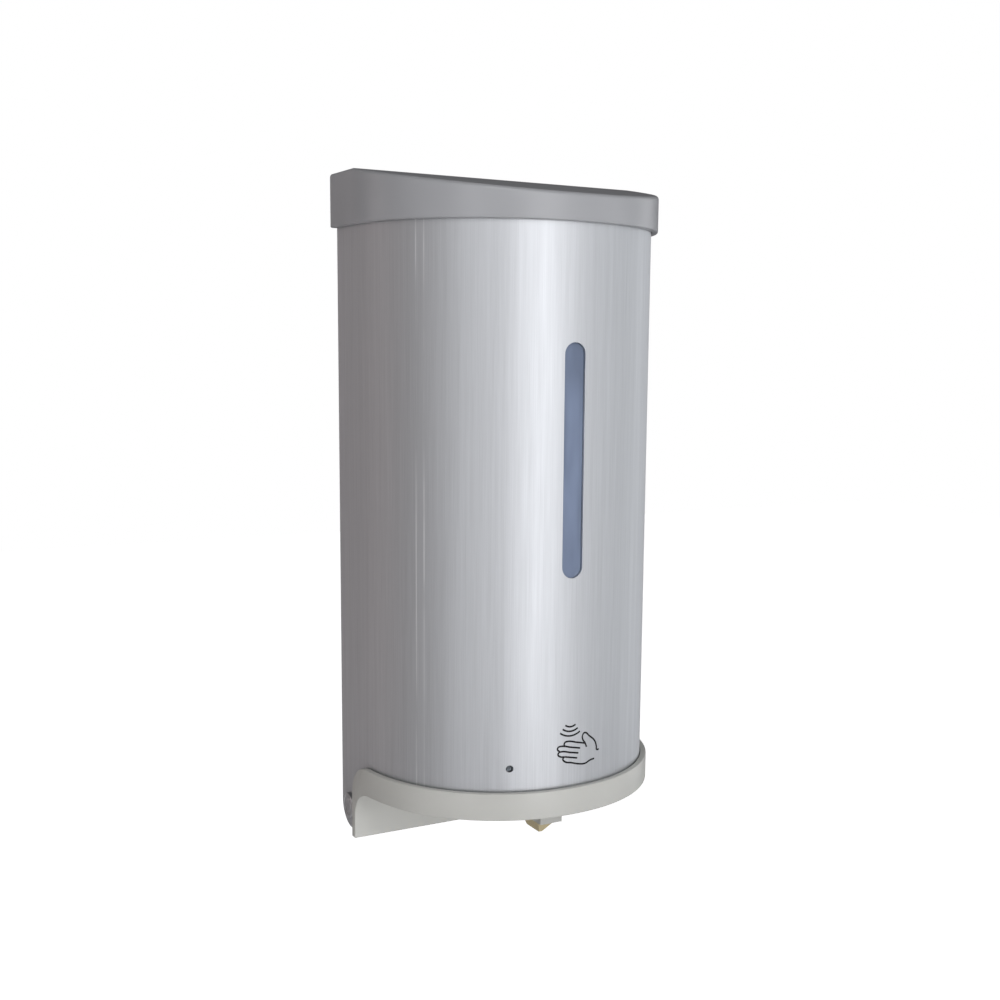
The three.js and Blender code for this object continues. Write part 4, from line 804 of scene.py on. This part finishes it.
class DISPENSER_OT_bezel(bpy.types.Operator):
    """Mould the bezel: a band that turns down into wings, with a floor and a coved back"""
    bl_idname = "dispenser.bezel"
    bl_label = "Bezel"
    bl_options = {"REGISTER", "UNDO"}

    def execute(self, context):
        sizes = context.scene.dispenser_cover
        foot, head = 0, high("bottom_bezel").z
        proud, gap = millimetres(sizes, "overhang"), millimetres(sizes, "gap")
        (wing_middle, wing_height, wing), (middle, height, hollow) = WING, COVE
        side = [(wing_middle + wing, foot), (wing_middle + wing, wing_height),
                *arc(*WING, 0, 90, 24)[1:], (BEYOND, head), (BEYOND, height + hollow),
                (middle, height + hollow), *arc(*COVE, 90, 0, 24)[1:],
                (middle + hollow, foot)]
        # a hair inside the overhang, because rounding the edges pushes a few corners out
        bezel = prism("moulded_bezel", cover_path(sizes, proud - 0.01, 2), foot - 1, head + 1,
                      "plan")
        carved(bezel, prism("bezel_side", side, -REACH, REACH, "side"), operation="INTERSECT")
        inner = prism("bezel_inside", cover_path(sizes, gap, 3), -2, head + 2, "plan")
        floor = 2.2
        carved(inner, prism("over_floor", above_cove(floor, head + 2), -REACH, REACH,
                            "side"), operation="INTERSECT")
        # the opening round the outlet and the sensor, cut right through the floor
        opening = prism("opening", box_shape(-13, 13, -84, -50, 4), 20, 26, "plan")
        carved(bezel, inner, opening)
        softened(bezel, millimetres(sizes, "bezel_edge"))
        dressed(bezel, finishes["bezel_plastic"], "cover", ["bottom_bezel"])
        return {"FINISHED"}


class DISPENSER_OT_window_lens(bpy.types.Operator):
    """Bend the tinted lens behind the window slot"""
    bl_idname = "dispenser.window_lens"
    bl_label = "Window lens"
    bl_options = {"REGISTER", "UNDO"}

    def execute(self, context):
        sizes = context.scene.dispenser_cover
        fittings = context.scene.dispenser_fittings
        box_low, box_high = low("window_lens"), high("window_lens")
        behind = millimetres(sizes, "sheet") + millimetres(sizes, "gap")
        half = math.asin(box_high.x / millimetres(sizes, "half_width"))
        lens = wrapped("level_lens", sizes, finishes["tinted_plastic"], math.pi / 2 - half,
                       math.pi / 2 + half, box_low.z, box_high.z, -behind,
                       millimetres(fittings, "lens_thickness"), 25, 41)
        dressed(lens, finishes["tinted_plastic"], "cover", ["window_lens"])
        return {"FINISHED"}


class DISPENSER_OT_hinge_pins(bpy.types.Operator):
    """Turn the two hinge pins with their dished heads"""
    bl_idname = "dispenser.hinge_pins"
    bl_label = "Hinge pins"
    bl_options = {"REGISTER", "UNDO"}

    def execute(self, context):
        fittings = context.scene.dispenser_fittings
        r, face = millimetres(fittings, "pin_head"), high("hinge_pin_right").x
        tip = low("hinge_pin_right").x
        # radius and distance from the middle: chamfered shank, then a head with a ring
        profile = [(0, tip), (2.1, tip), (2.5, tip + 0.4), (2.5, face - 1.3), (r, face - 1.3),
                   (r, face - 0.5), (r - 0.15, face - 0.2), (r - 0.5, face), (r - 1, face),
                   (r - 1.35, face - 0.35), (r - 2.5, face - 0.35), (r - 2.8, face - 0.1),
                   (0, face)]
        out, up = HINGE
        pins = [turned("pin", profile, lambda a, b, h, s=side: (s * h, a + out, b + up))
                for side in (-1, 1)]
        dressed(joined("hinge_pins", pins), finishes["bright_steel"], "cover",
                ["hinge_pin_left", "hinge_pin_right"])
        return {"FINISHED"}


class DISPENSER_OT_lock_face(bpy.types.Operator):
    """Turn the lock barrel and cut its keyway"""
    bl_idname = "dispenser.lock_face"
    bl_label = "Lock barrel"
    bl_options = {"REGISTER", "UNDO"}

    def execute(self, context):
        foot, head = low("lock_barrel").z, high("lock_barrel").z
        # radius and height: barrel, flange, and a groove round the face
        profile = [(0, foot), (5.6, foot), (6, foot + 0.4), (6, head - 0.6), (7.5, head - 0.6),
                   (7.5, head - 0.25), (7.25, head), (5.3, head), (5.1, head - 0.25),
                   (4.8, head - 0.25), (4.6, head), (0, head)]
        barrel = turned("lock_face", profile, lambda a, b, h: (a, b + LOCK[1], h), 64)
        # across and out: a wide notch half way along a narrow slot
        keyway = [(-0.8, -16.5), (0.8, -16.5), (0.8, -13.6), (1.2, -13.3), (1.2, -12.2),
                  (0.8, -11.9), (0.8, -9.5), (-0.8, -9.5)]
        carved(barrel, prism("keyway", keyway, head - 4, head + 1, "plan"),
               prism("screw_bore", arc(*LOCK, 1.5, 0, 330, 11), foot - 1, foot + 4.5, "plan"))
        dressed(barrel, finishes["lock_chrome"], "lock", ["lock_barrel"])
        return {"FINISHED"}


class DISPENSER_OT_housings(bpy.types.Operator):
    """Copy the tank and the drive's mouldings, and shade their curved walls smoothly"""
    bl_idname = "dispenser.housings"
    bl_label = "Tank and housings"
    bl_options = {"REGISTER", "UNDO"}

    def execute(self, context):
        for name, node, slot in (("blown_tank", "soap_tank", "milky_plastic"),
                                 ("drive_housing", "drive_cover", "inner_plastic"),
                                 ("base_moulding", "base_plate", "inner_plastic")):
            mesh = bpy.data.meshes.new(name)
            work = bmesh.new()
            work.from_mesh(frame["nodes"][node].data)
            bmesh.ops.remove_doubles(work, verts=work.verts, dist=1e-6)
            work.to_mesh(mesh)
            work.free()
            piece = bpy.data.objects.new(name, mesh)
            context.scene.collection.objects.link(piece)
            dressed(piece, finishes[slot], "chassis", [node], flat_over=1e6, crease=28)
            # flat faces stay flat where a small rounding meets them
            modifier = piece.modifiers.new("even", "WEIGHTED_NORMAL")
            modifier.keep_sharp = True
            bpy.context.view_layer.update()
            settled(piece)
        return {"FINISHED"}


def screw_tree():
    """Pan-head screws on points, each turned to the point's own direction."""
    tree, size = new_tree("pan_head_screws", [
        ("Head radius", "Float"), ("Head height", "Float"), ("Shank radius", "Float"),
        ("Length", "Float"), ("Recess", "Float"), ("Material", "Material")])
    blank = add(tree, "GeometryNodeMeshCylinder", fill_type="TRIANGLE_FAN", sockets={
        "Vertices": 24, "Side Segments": 3, "Fill Segments": 4,
        "Radius": size["Head radius"], "Depth": size["Head height"]})
    spot = add(tree, "GeometryNodeInputPosition")
    apart = add(tree, "ShaderNodeSeparateXYZ", spot)
    flat = add(tree, "ShaderNodeVectorMath:LENGTH",
               add(tree, "ShaderNodeCombineXYZ", apart.outputs["X"], apart.outputs["Y"]))
    share = add(tree, "ShaderNodeMath:DIVIDE", flat.outputs["Value"], size["Head radius"])
    sag = add(tree, "ShaderNodeMath:MULTIPLY", add(tree, "ShaderNodeMath:POWER", share, 2.6),
              add(tree, "ShaderNodeMath:MULTIPLY", size["Head height"], -0.45))
    top = add(tree, "ShaderNodeMath:GREATER_THAN", apart.outputs["Z"], 0.0)
    domed = add(tree, "GeometryNodeSetPosition", blank, sockets={
        "Offset": add(tree, "ShaderNodeCombineXYZ", 0.0, 0.0,
                      add(tree, "ShaderNodeMath:MULTIPLY", sag, top))})
    half = add(tree, "ShaderNodeMath:MULTIPLY", size["Head height"], 0.5)
    head = add(tree, "GeometryNodeTransform", domed, sockets={
        "Translation": add(tree, "ShaderNodeCombineXYZ", 0.0, 0.0, half)})
    bars = add(tree, "GeometryNodeJoinGeometry")
    arm = add(tree, "ShaderNodeMath:MULTIPLY", size["Head radius"], 1.1)
    for x, y in ((arm, size["Recess"]), (size["Recess"], arm)):
        bar = add(tree, "GeometryNodeMeshCube", sockets={
            "Size": add(tree, "ShaderNodeCombineXYZ", x, y, size["Head height"])})
        tree.links.new(add(tree, "GeometryNodeTransform", bar, sockets={
            "Translation": add(tree, "ShaderNodeCombineXYZ", 0.0, 0.0,
                               size["Head height"])}).outputs[0], bars.inputs[0])
    cross = add(tree, "GeometryNodeMeshBoolean", head, bars, operation="DIFFERENCE",
                solver="EXACT")
    shank = add(tree, "GeometryNodeMeshCylinder", sockets={
        "Vertices": 16, "Radius": size["Shank radius"], "Depth": size["Length"]})
    down = add(tree, "GeometryNodeTransform", shank, sockets={
        "Translation": add(tree, "ShaderNodeCombineXYZ", 0.0, 0.0,
                           add(tree, "ShaderNodeMath:MULTIPLY", size["Length"], -0.499))})
    whole = add(tree, "GeometryNodeJoinGeometry")
    for part in (cross, down):
        tree.links.new(part.outputs[0], whole.inputs[0])
    aim = add(tree, "GeometryNodeInputNamedAttribute", "aim", data_type="FLOAT_VECTOR")
    turn = add(tree, "FunctionNodeAlignRotationToVector", None, None, aim, axis="Z")
    placed = add(tree, "GeometryNodeInstanceOnPoints", size["Geometry"], sockets={
        "Instance": whole, "Rotation": turn})
    end_tree(tree, placed, size["Material"])
    return tree


def points_mesh(name, places, aims):
    mesh = bpy.data.meshes.new(name)
    mesh.from_pydata(places, [], [])
    aim = mesh.attributes.new("aim", "FLOAT_VECTOR", "POINT")
    aim.data.foreach_set("vector", [c for a in aims for c in a])
    return mesh


class DISPENSER_OT_screws(bpy.types.Operator):
    """Place every pan-head screw, head outwards, one mesh for each group of screws"""
    bl_idname = "dispenser.screws"
    bl_label = "Screws"
    bl_options = {"REGISTER", "UNDO"}

    def execute(self, context):
        fittings = context.scene.dispenser_fittings
        tree = screw_tree()
        up, ahead, across = Vector((0, 0, 1)), Vector((0, -1, 0)), Vector((1, 0, 0))
        steel, tall, recess = finishes["bright_steel"], 1.6 * MM, 0.55 * MM
        usual, slim = (fittings.screw_head, 1.2 * MM), (2.2 * MM, 0.95 * MM)
        for name, body, nodes in (
                ("gear_plate_screws", "chassis",
                 {f"gear_plate_screw_{k}": up for k in (1, 2, 3)}),
                ("base_screws", "chassis", {f"base_screw_{k}": -up for k in (1, 2, 3)}),
                ("catch_screws", "chassis", {"catch_screw": ahead}),
                ("cam_screws", "lock", {"lock_screw": -up}),
                ("bezel_screws", "cover", {"bezel_screw_left": across,
                                           "bezel_screw_right": -across})):
            places = []
            for node, aim in nodes.items():
                near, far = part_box(node)
                middle, reach = (near + far) / 2, (far - near) / 2
                run = 2 * abs(reach.dot(aim))
                places.append(middle + aim * (run / 2 - tall))
            head, shank = slim if name == "bezel_screws" else usual
            piece = grown(name, points_mesh(name + "_points", places, nodes.values()), tree, {
                "Head radius": head, "Head height": tall, "Shank radius": shank,
                "Length": run - tall, "Recess": recess, "Material": steel}, steel)
            dressed(piece, steel, body, list(nodes))
        return {"FINISHED"}


class DISPENSER_OT_battery_springs(bpy.types.Operator):
    """Wind the four conical springs under the cells"""
    bl_idname = "dispenser.battery_springs"
    bl_label = "Battery springs"
    bl_options = {"REGISTER", "UNDO"}

    def execute(self, context):
        fittings = context.scene.dispenser_fittings
        tree, size = new_tree("conical_springs", [
            ("Wire", "Float"), ("Foot radius", "Float"), ("Top radius", "Float"),
            ("Height", "Float"), ("Turns", "Float"), ("Material", "Material")])
        line = add(tree, "GeometryNodeCurveSpiral", sockets={
            "Resolution": 28, "Rotations": size["Turns"], "Start Radius": size["Foot radius"],
            "End Radius": size["Top radius"], "Height": size["Height"]})
        ring = add(tree, "GeometryNodeCurvePrimitiveCircle", sockets={
            "Resolution": 10,
            "Radius": add(tree, "ShaderNodeMath:MULTIPLY", size["Wire"], 0.5)})
        wire = add(tree, "GeometryNodeCurveToMesh", line, ring, sockets={"Fill Caps": True})
        placed = add(tree, "GeometryNodeInstanceOnPoints", size["Geometry"],
                     sockets={"Instance": wire})
        end_tree(tree, placed, size["Material"])
        nodes = [f"battery_spring_{k}" for k in (1, 2, 3, 4)]
        boxes = [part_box(n) for n in nodes]
        wire = fittings.spring_wire
        places = [((a.x + b.x) / 2, (a.y + b.y) / 2, a.z + wire / 2) for a, b in boxes]
        feet = points_mesh("spring_points", places, [(0, 0, 1)] * len(places))
        near, far = boxes[0]
        steel = finishes["bright_steel"]
        springs = grown("battery_springs", feet, tree, {
            "Wire": wire, "Foot radius": (far.x - near.x - wire) / 2, "Top radius": 2.2 * MM,
            "Height": far.z - near.z - wire, "Turns": 2.75, "Material": steel}, steel)
        dressed(springs, steel, "chassis", nodes, crease=60)
        return {"FINISHED"}


HAND = (  # an open hand, palm down, fingers to the left, in millimetres
    ((3.7, 2.7), (0, 3.0), (-4.2, 3.2), (-5.1, 2.8), (-5.3, 2.0), (-4.7, 1.2)),
    ((1.7, 0.9), (-2, 1.1), (-6.6, 1.3), (-7.5, 0.9), (-7.7, 0.1), (-6.8, -0.6)),
    ((1.3, -0.95), (-2, -0.8), (-6.2, -0.7), (-7.0, -1.1), (-7.1, -1.9), (-6.2, -2.5),
     (-4.3, -2.55)),
    ((1.1, -2.8), (-1.5, -2.65), (-4.2, -2.5)),
    ((-4.4, -2.5), (-4.9, -3.3), (-4.1, -4.2), (-1, -4.6), (2.5, -5.0), (5.0, -4.8),
     (7.2, -3.6), (9.0, -3.1)),
    ((4.6, 1.3), (3.7, 2.7), (2.2, 4.4), (2.1, 5.9), (2.8, 6.6), (5.2, 5.4), (8.0, 3.6),
     (9.3, 1.4), (9.6, 0.3), (10.7, 0.3)))


class DISPENSER_OT_hand_symbol(bpy.types.Operator):
    """Print the hand and its three arcs on the curved front"""
    bl_idname = "dispenser.hand_symbol"
    bl_label = "Hand symbol"
    bl_options = {"REGISTER", "UNDO"}

    def execute(self, context):
        sizes = context.scene.dispenser_cover
        fittings = context.scene.dispenser_fittings
        tree, size = new_tree("print_on_the_front", [
            ("Half width", "Float"), ("Side depth", "Float"), ("Bulge", "Float"),
            ("Squareness", "Float"), ("Line", "Float"), ("Film", "Float"),
            ("Arc radius", "Float"), ("Arc step", "Float"), ("Arc centre", "Vector"),
            ("Material", "Material")])
        bow = add(tree, "GeometryNodeCurveArc", sockets={
            "Resolution": 20, "Radius": size["Arc radius"],
            "Start Angle": math.radians(232), "Sweep Angle": math.radians(72)})
        row = add(tree, "GeometryNodeMeshLine", sockets={"Count": 3, "Offset": (0, 0, 0)})
        larger = add(tree, "ShaderNodeMath:MULTIPLY_ADD", add(tree, "GeometryNodeInputIndex"),
                     size["Arc step"], 1.0)
        bows = add(tree, "GeometryNodeInstanceOnPoints", row, sockets={
            "Instance": bow, "Scale": larger})
        stood = add(tree, "GeometryNodeTransform",
                    add(tree, "GeometryNodeRealizeInstances", bows), sockets={
                        "Rotation": (math.pi / 2, 0, 0), "Translation": size["Arc centre"]})
        lines = add(tree, "GeometryNodeJoinGeometry")
        for part in (stood.outputs[0], size["Geometry"]):
            tree.links.new(part, lines.inputs[0])
        pen = add(tree, "GeometryNodeCurvePrimitiveCircle", sockets={
            "Resolution": 8,
            "Radius": add(tree, "ShaderNodeMath:MULTIPLY", size["Line"], 0.5)})
        drawn = add(tree, "GeometryNodeCurveToMesh", lines, pen, sockets={"Fill Caps": True})
        spot = add(tree, "ShaderNodeSeparateXYZ", add(tree, "GeometryNodeInputPosition"))
        share = add(tree, "ShaderNodeMath:ABSOLUTE",
                    add(tree, "ShaderNodeMath:DIVIDE", spot.outputs["X"], size["Half width"]))
        left = add(tree, "ShaderNodeMath:SUBTRACT", 1.0,
                   add(tree, "ShaderNodeMath:POWER", share, size["Squareness"]))
        ahead = add(tree, "ShaderNodeMath:POWER", left,
                    add(tree, "ShaderNodeMath:DIVIDE", 1.0, size["Squareness"]))
        depth = add(tree, "ShaderNodeMath:MULTIPLY_ADD", ahead, size["Bulge"],
                    size["Side depth"])
        face = add(tree, "ShaderNodeMath:MULTIPLY", depth, -1.0)
        film = add(tree, "ShaderNodeMath:MULTIPLY", spot.outputs["Y"], size["Film"])
        laid = add(tree, "GeometryNodeSetPosition", drawn, sockets={
            "Position": add(tree, "ShaderNodeCombineXYZ", spot.outputs["X"],
                            add(tree, "ShaderNodeMath:ADD", face, film), spot.outputs["Z"])})
        end_tree(tree, laid, size["Material"])
        grow, turn, across, up = 1.1, Matrix.Rotation(math.radians(-9), 2), 2.9, 47.4

        def placed(point):
            x, z = turn @ (Vector(point) * grow)
            return ((x + across) * MM, 0, (z + up - RISE) * MM)

        strokes = bpy.data.curves.new("hand_strokes", "CURVE")
        strokes.dimensions = "3D"
        for stroke in HAND:
            spline = strokes.splines.new("BEZIER")
            spline.bezier_points.add(len(stroke) - 1)
            for knot, point in zip(spline.bezier_points, stroke):
                knot.co = placed(point)
                knot.handle_left_type = knot.handle_right_type = "AUTO"
            spline.resolution_u = 8
        print_piece = grown("hand_symbol", strokes, tree, {
            "Half width": sizes.half_width, "Side depth": sizes.side_depth,
            "Bulge": sizes.bulge, "Squareness": sizes.squareness,
            "Line": fittings.print_line, "Film": 0.2, "Arc radius": 4.0 * MM,
            "Arc step": 0.47, "Arc centre": placed((-4.3, 12.3)),
            "Material": finishes["ink"]}, finishes["ink"])
        dressed(print_piece, finishes["ink"], "cover", [], crease=60)
        return {"FINISHED"}


class DISPENSER_OT_stage(bpy.types.Operator):
    """Set the floor, the soft lights and the camera"""
    bl_idname = "dispenser.stage"
    bl_label = "Stage"
    bl_options = {"REGISTER", "UNDO"}

    def execute(self, context):
        scene, stage = context.scene, context.scene.dispenser_stage
        scene.view_settings.view_transform = "Standard"
        self.floor(scene, stage)
        self.surroundings(scene, stage)
        for softbox in LIGHTS:
            self.light(scene, *softbox)
        self.camera(scene, stage)
        return {"FINISHED"}

    def floor(self, scene, stage):
        mesh = bpy.data.meshes.new("floor")
        half, drop = 4.0, -0.6
        mesh.from_pydata([(-half, -half, drop), (half, -half, drop), (half, half, drop),
                          (-half, half, drop)], [], [(0, 1, 2, 3)])
        floor = bpy.data.objects.new("floor", mesh)
        scene.collection.objects.link(floor)
        material, tree, into = new_material("floor_white_paint", Roughness=0.6)
        into["Base Color"].default_value = stage.backdrop
        into["Emission Color"].default_value = stage.backdrop
        seen = add(tree, "ShaderNodeLightPath").outputs["Is Camera Ray"]
        tree.links.new(seen, into["Emission Strength"])
        mesh.materials.append(material)

    def surroundings(self, scene, stage):
        world = bpy.data.worlds.new("room")
        world.use_nodes = True
        tree = world.node_tree
        tree.nodes.clear()
        seen = add(tree, "ShaderNodeLightPath").outputs["Is Camera Ray"]
        room = add(tree, "ShaderNodeBackground", linear("#f4f3f6"), stage.reflections)
        bright = add(tree, "ShaderNodeBackground", tuple(stage.backdrop), 1.0)
        add(tree, "ShaderNodeOutputWorld", add(tree, "ShaderNodeMixShader", seen, room, bright))
        scene.world = world

    def light(self, scene, name, azimuth, elevation, away, wide, tall, power, tone):
        data = bpy.data.lights.new(name, "AREA")
        data.shape, data.size, data.size_y = "RECTANGLE", wide, tall
        data.energy, data.color = power, linear(tone)[:3]
        lamp = bpy.data.objects.new(name, data)
        scene.collection.objects.link(lamp)
        a, e = math.radians(azimuth), math.radians(elevation)
        out = Vector((math.sin(a) * math.cos(e), -math.cos(a) * math.cos(e), math.sin(e)))
        lamp.location = out * away
        lamp.rotation_euler = out.to_track_quat("Z", "Y").to_euler()
        lamp.visible_camera = False

    def camera(self, scene, stage):
        data = bpy.data.cameras.new("camera")
        data.lens, data.sensor_width = stage.lens, 36
        data.shift_x, data.shift_y = CAMERA_SHIFT
        camera = bpy.data.objects.new("camera", data)
        scene.collection.objects.link(camera)
        a, e = stage.azimuth, stage.elevation
        back = Vector((-math.sin(a) * math.cos(e), -math.cos(a) * math.cos(e), math.sin(e)))
        right = Vector((0, 0, 1)).cross(back).normalized()
        up = back.cross(right)
        turn = Matrix((right, up, back)).transposed() @ Matrix.Rotation(stage.roll, 3, "Z")
        camera.matrix_world = Matrix.Translation(CAMERA_PLACE) @ turn.to_4x4()
        scene.camera = camera


CAMERA_PLACE = (-0.26288, -0.53913, 0.06968)
CAMERA_SHIFT = (-0.0665, 0.0446)
# name, azimuth, elevation, distance, width, height, watts, colour; azimuth 0 is in front
LIGHTS = (
    ("front_softbox", 3, 5, 1.2, 0.60, 1.3, 7.8, "#fdfdff"),
    ("left_fill", -48, 5, 1.2, 0.40, 1.3, 2.8, "#fdfdff"),
    ("left_side", -82, 5, 1.2, 0.35, 1.3, 0.8, "#fffafa"),
    ("rear_left_strip", -124, 5, 1.2, 0.10, 1.3, 1.2, "#fff0ee"),
    ("rear_wash", -160, 5, 1.2, 0.30, 1.3, 0.6, "#fff4f4"),
    ("right_fill", 55, 5, 1.2, 0.35, 1.3, 2.4, "#fafcff"),
    ("right_side", 95, 5, 1.2, 0.40, 1.3, 2.8, "#fafcff"),
    ("high_front", -20, 40, 1.2, 0.60, 0.6, 3.2, "#ffffff"),
)
SUBPARTS = frame["record"]["subparts"]
OPERATORS = (DISPENSER_OT_finishes, DISPENSER_OT_steel_cover, DISPENSER_OT_top_cap,
             DISPENSER_OT_bezel, DISPENSER_OT_window_lens, DISPENSER_OT_hinge_pins,
             DISPENSER_OT_lock_face, DISPENSER_OT_housings, DISPENSER_OT_screws,
             DISPENSER_OT_battery_springs, DISPENSER_OT_hand_symbol, DISPENSER_OT_stage)
GROUPS = (("dispenser_cover", CoverSizes), ("dispenser_fittings", FittingSizes),
          ("dispenser_colours", FinishColours), ("dispenser_stage", StageSettings))


class DISPENSER_PT_panel(bpy.types.Panel):
    """Lists the sizes, the colours and the pieces"""
    bl_idname = "DISPENSER_PT_panel"
    bl_label = "Soap dispenser"
    bl_space_type = "VIEW_3D"
    bl_region_type = "UI"
    bl_category = "Dispenser"

    def draw(self, context):
        for label, group in GROUPS:
            box = self.layout.box()
            settings = getattr(context.scene, label)
            for key in group.__annotations__:
                box.prop(settings, key)
        for operator in OPERATORS:
            self.layout.operator(operator.bl_idname)


def register():
    for label, group in GROUPS:
        bpy.utils.register_class(group)
        setattr(bpy.types.Scene, label, PointerProperty(type=group))
    for made_class in (*OPERATORS, DISPENSER_PT_panel):
        bpy.utils.register_class(made_class)


def unregister():
    for made_class in reversed((*OPERATORS, DISPENSER_PT_panel)):
        bpy.utils.unregister_class(made_class)
    for label, group in reversed(GROUPS):
        delattr(bpy.types.Scene, label)
        bpy.utils.unregister_class(group)


def main():
    register()
    for operator in OPERATORS:
        group, name = operator.bl_idname.split(".")
        getattr(getattr(bpy.ops, group), name)()


if __name__ == "__main__":
    main()
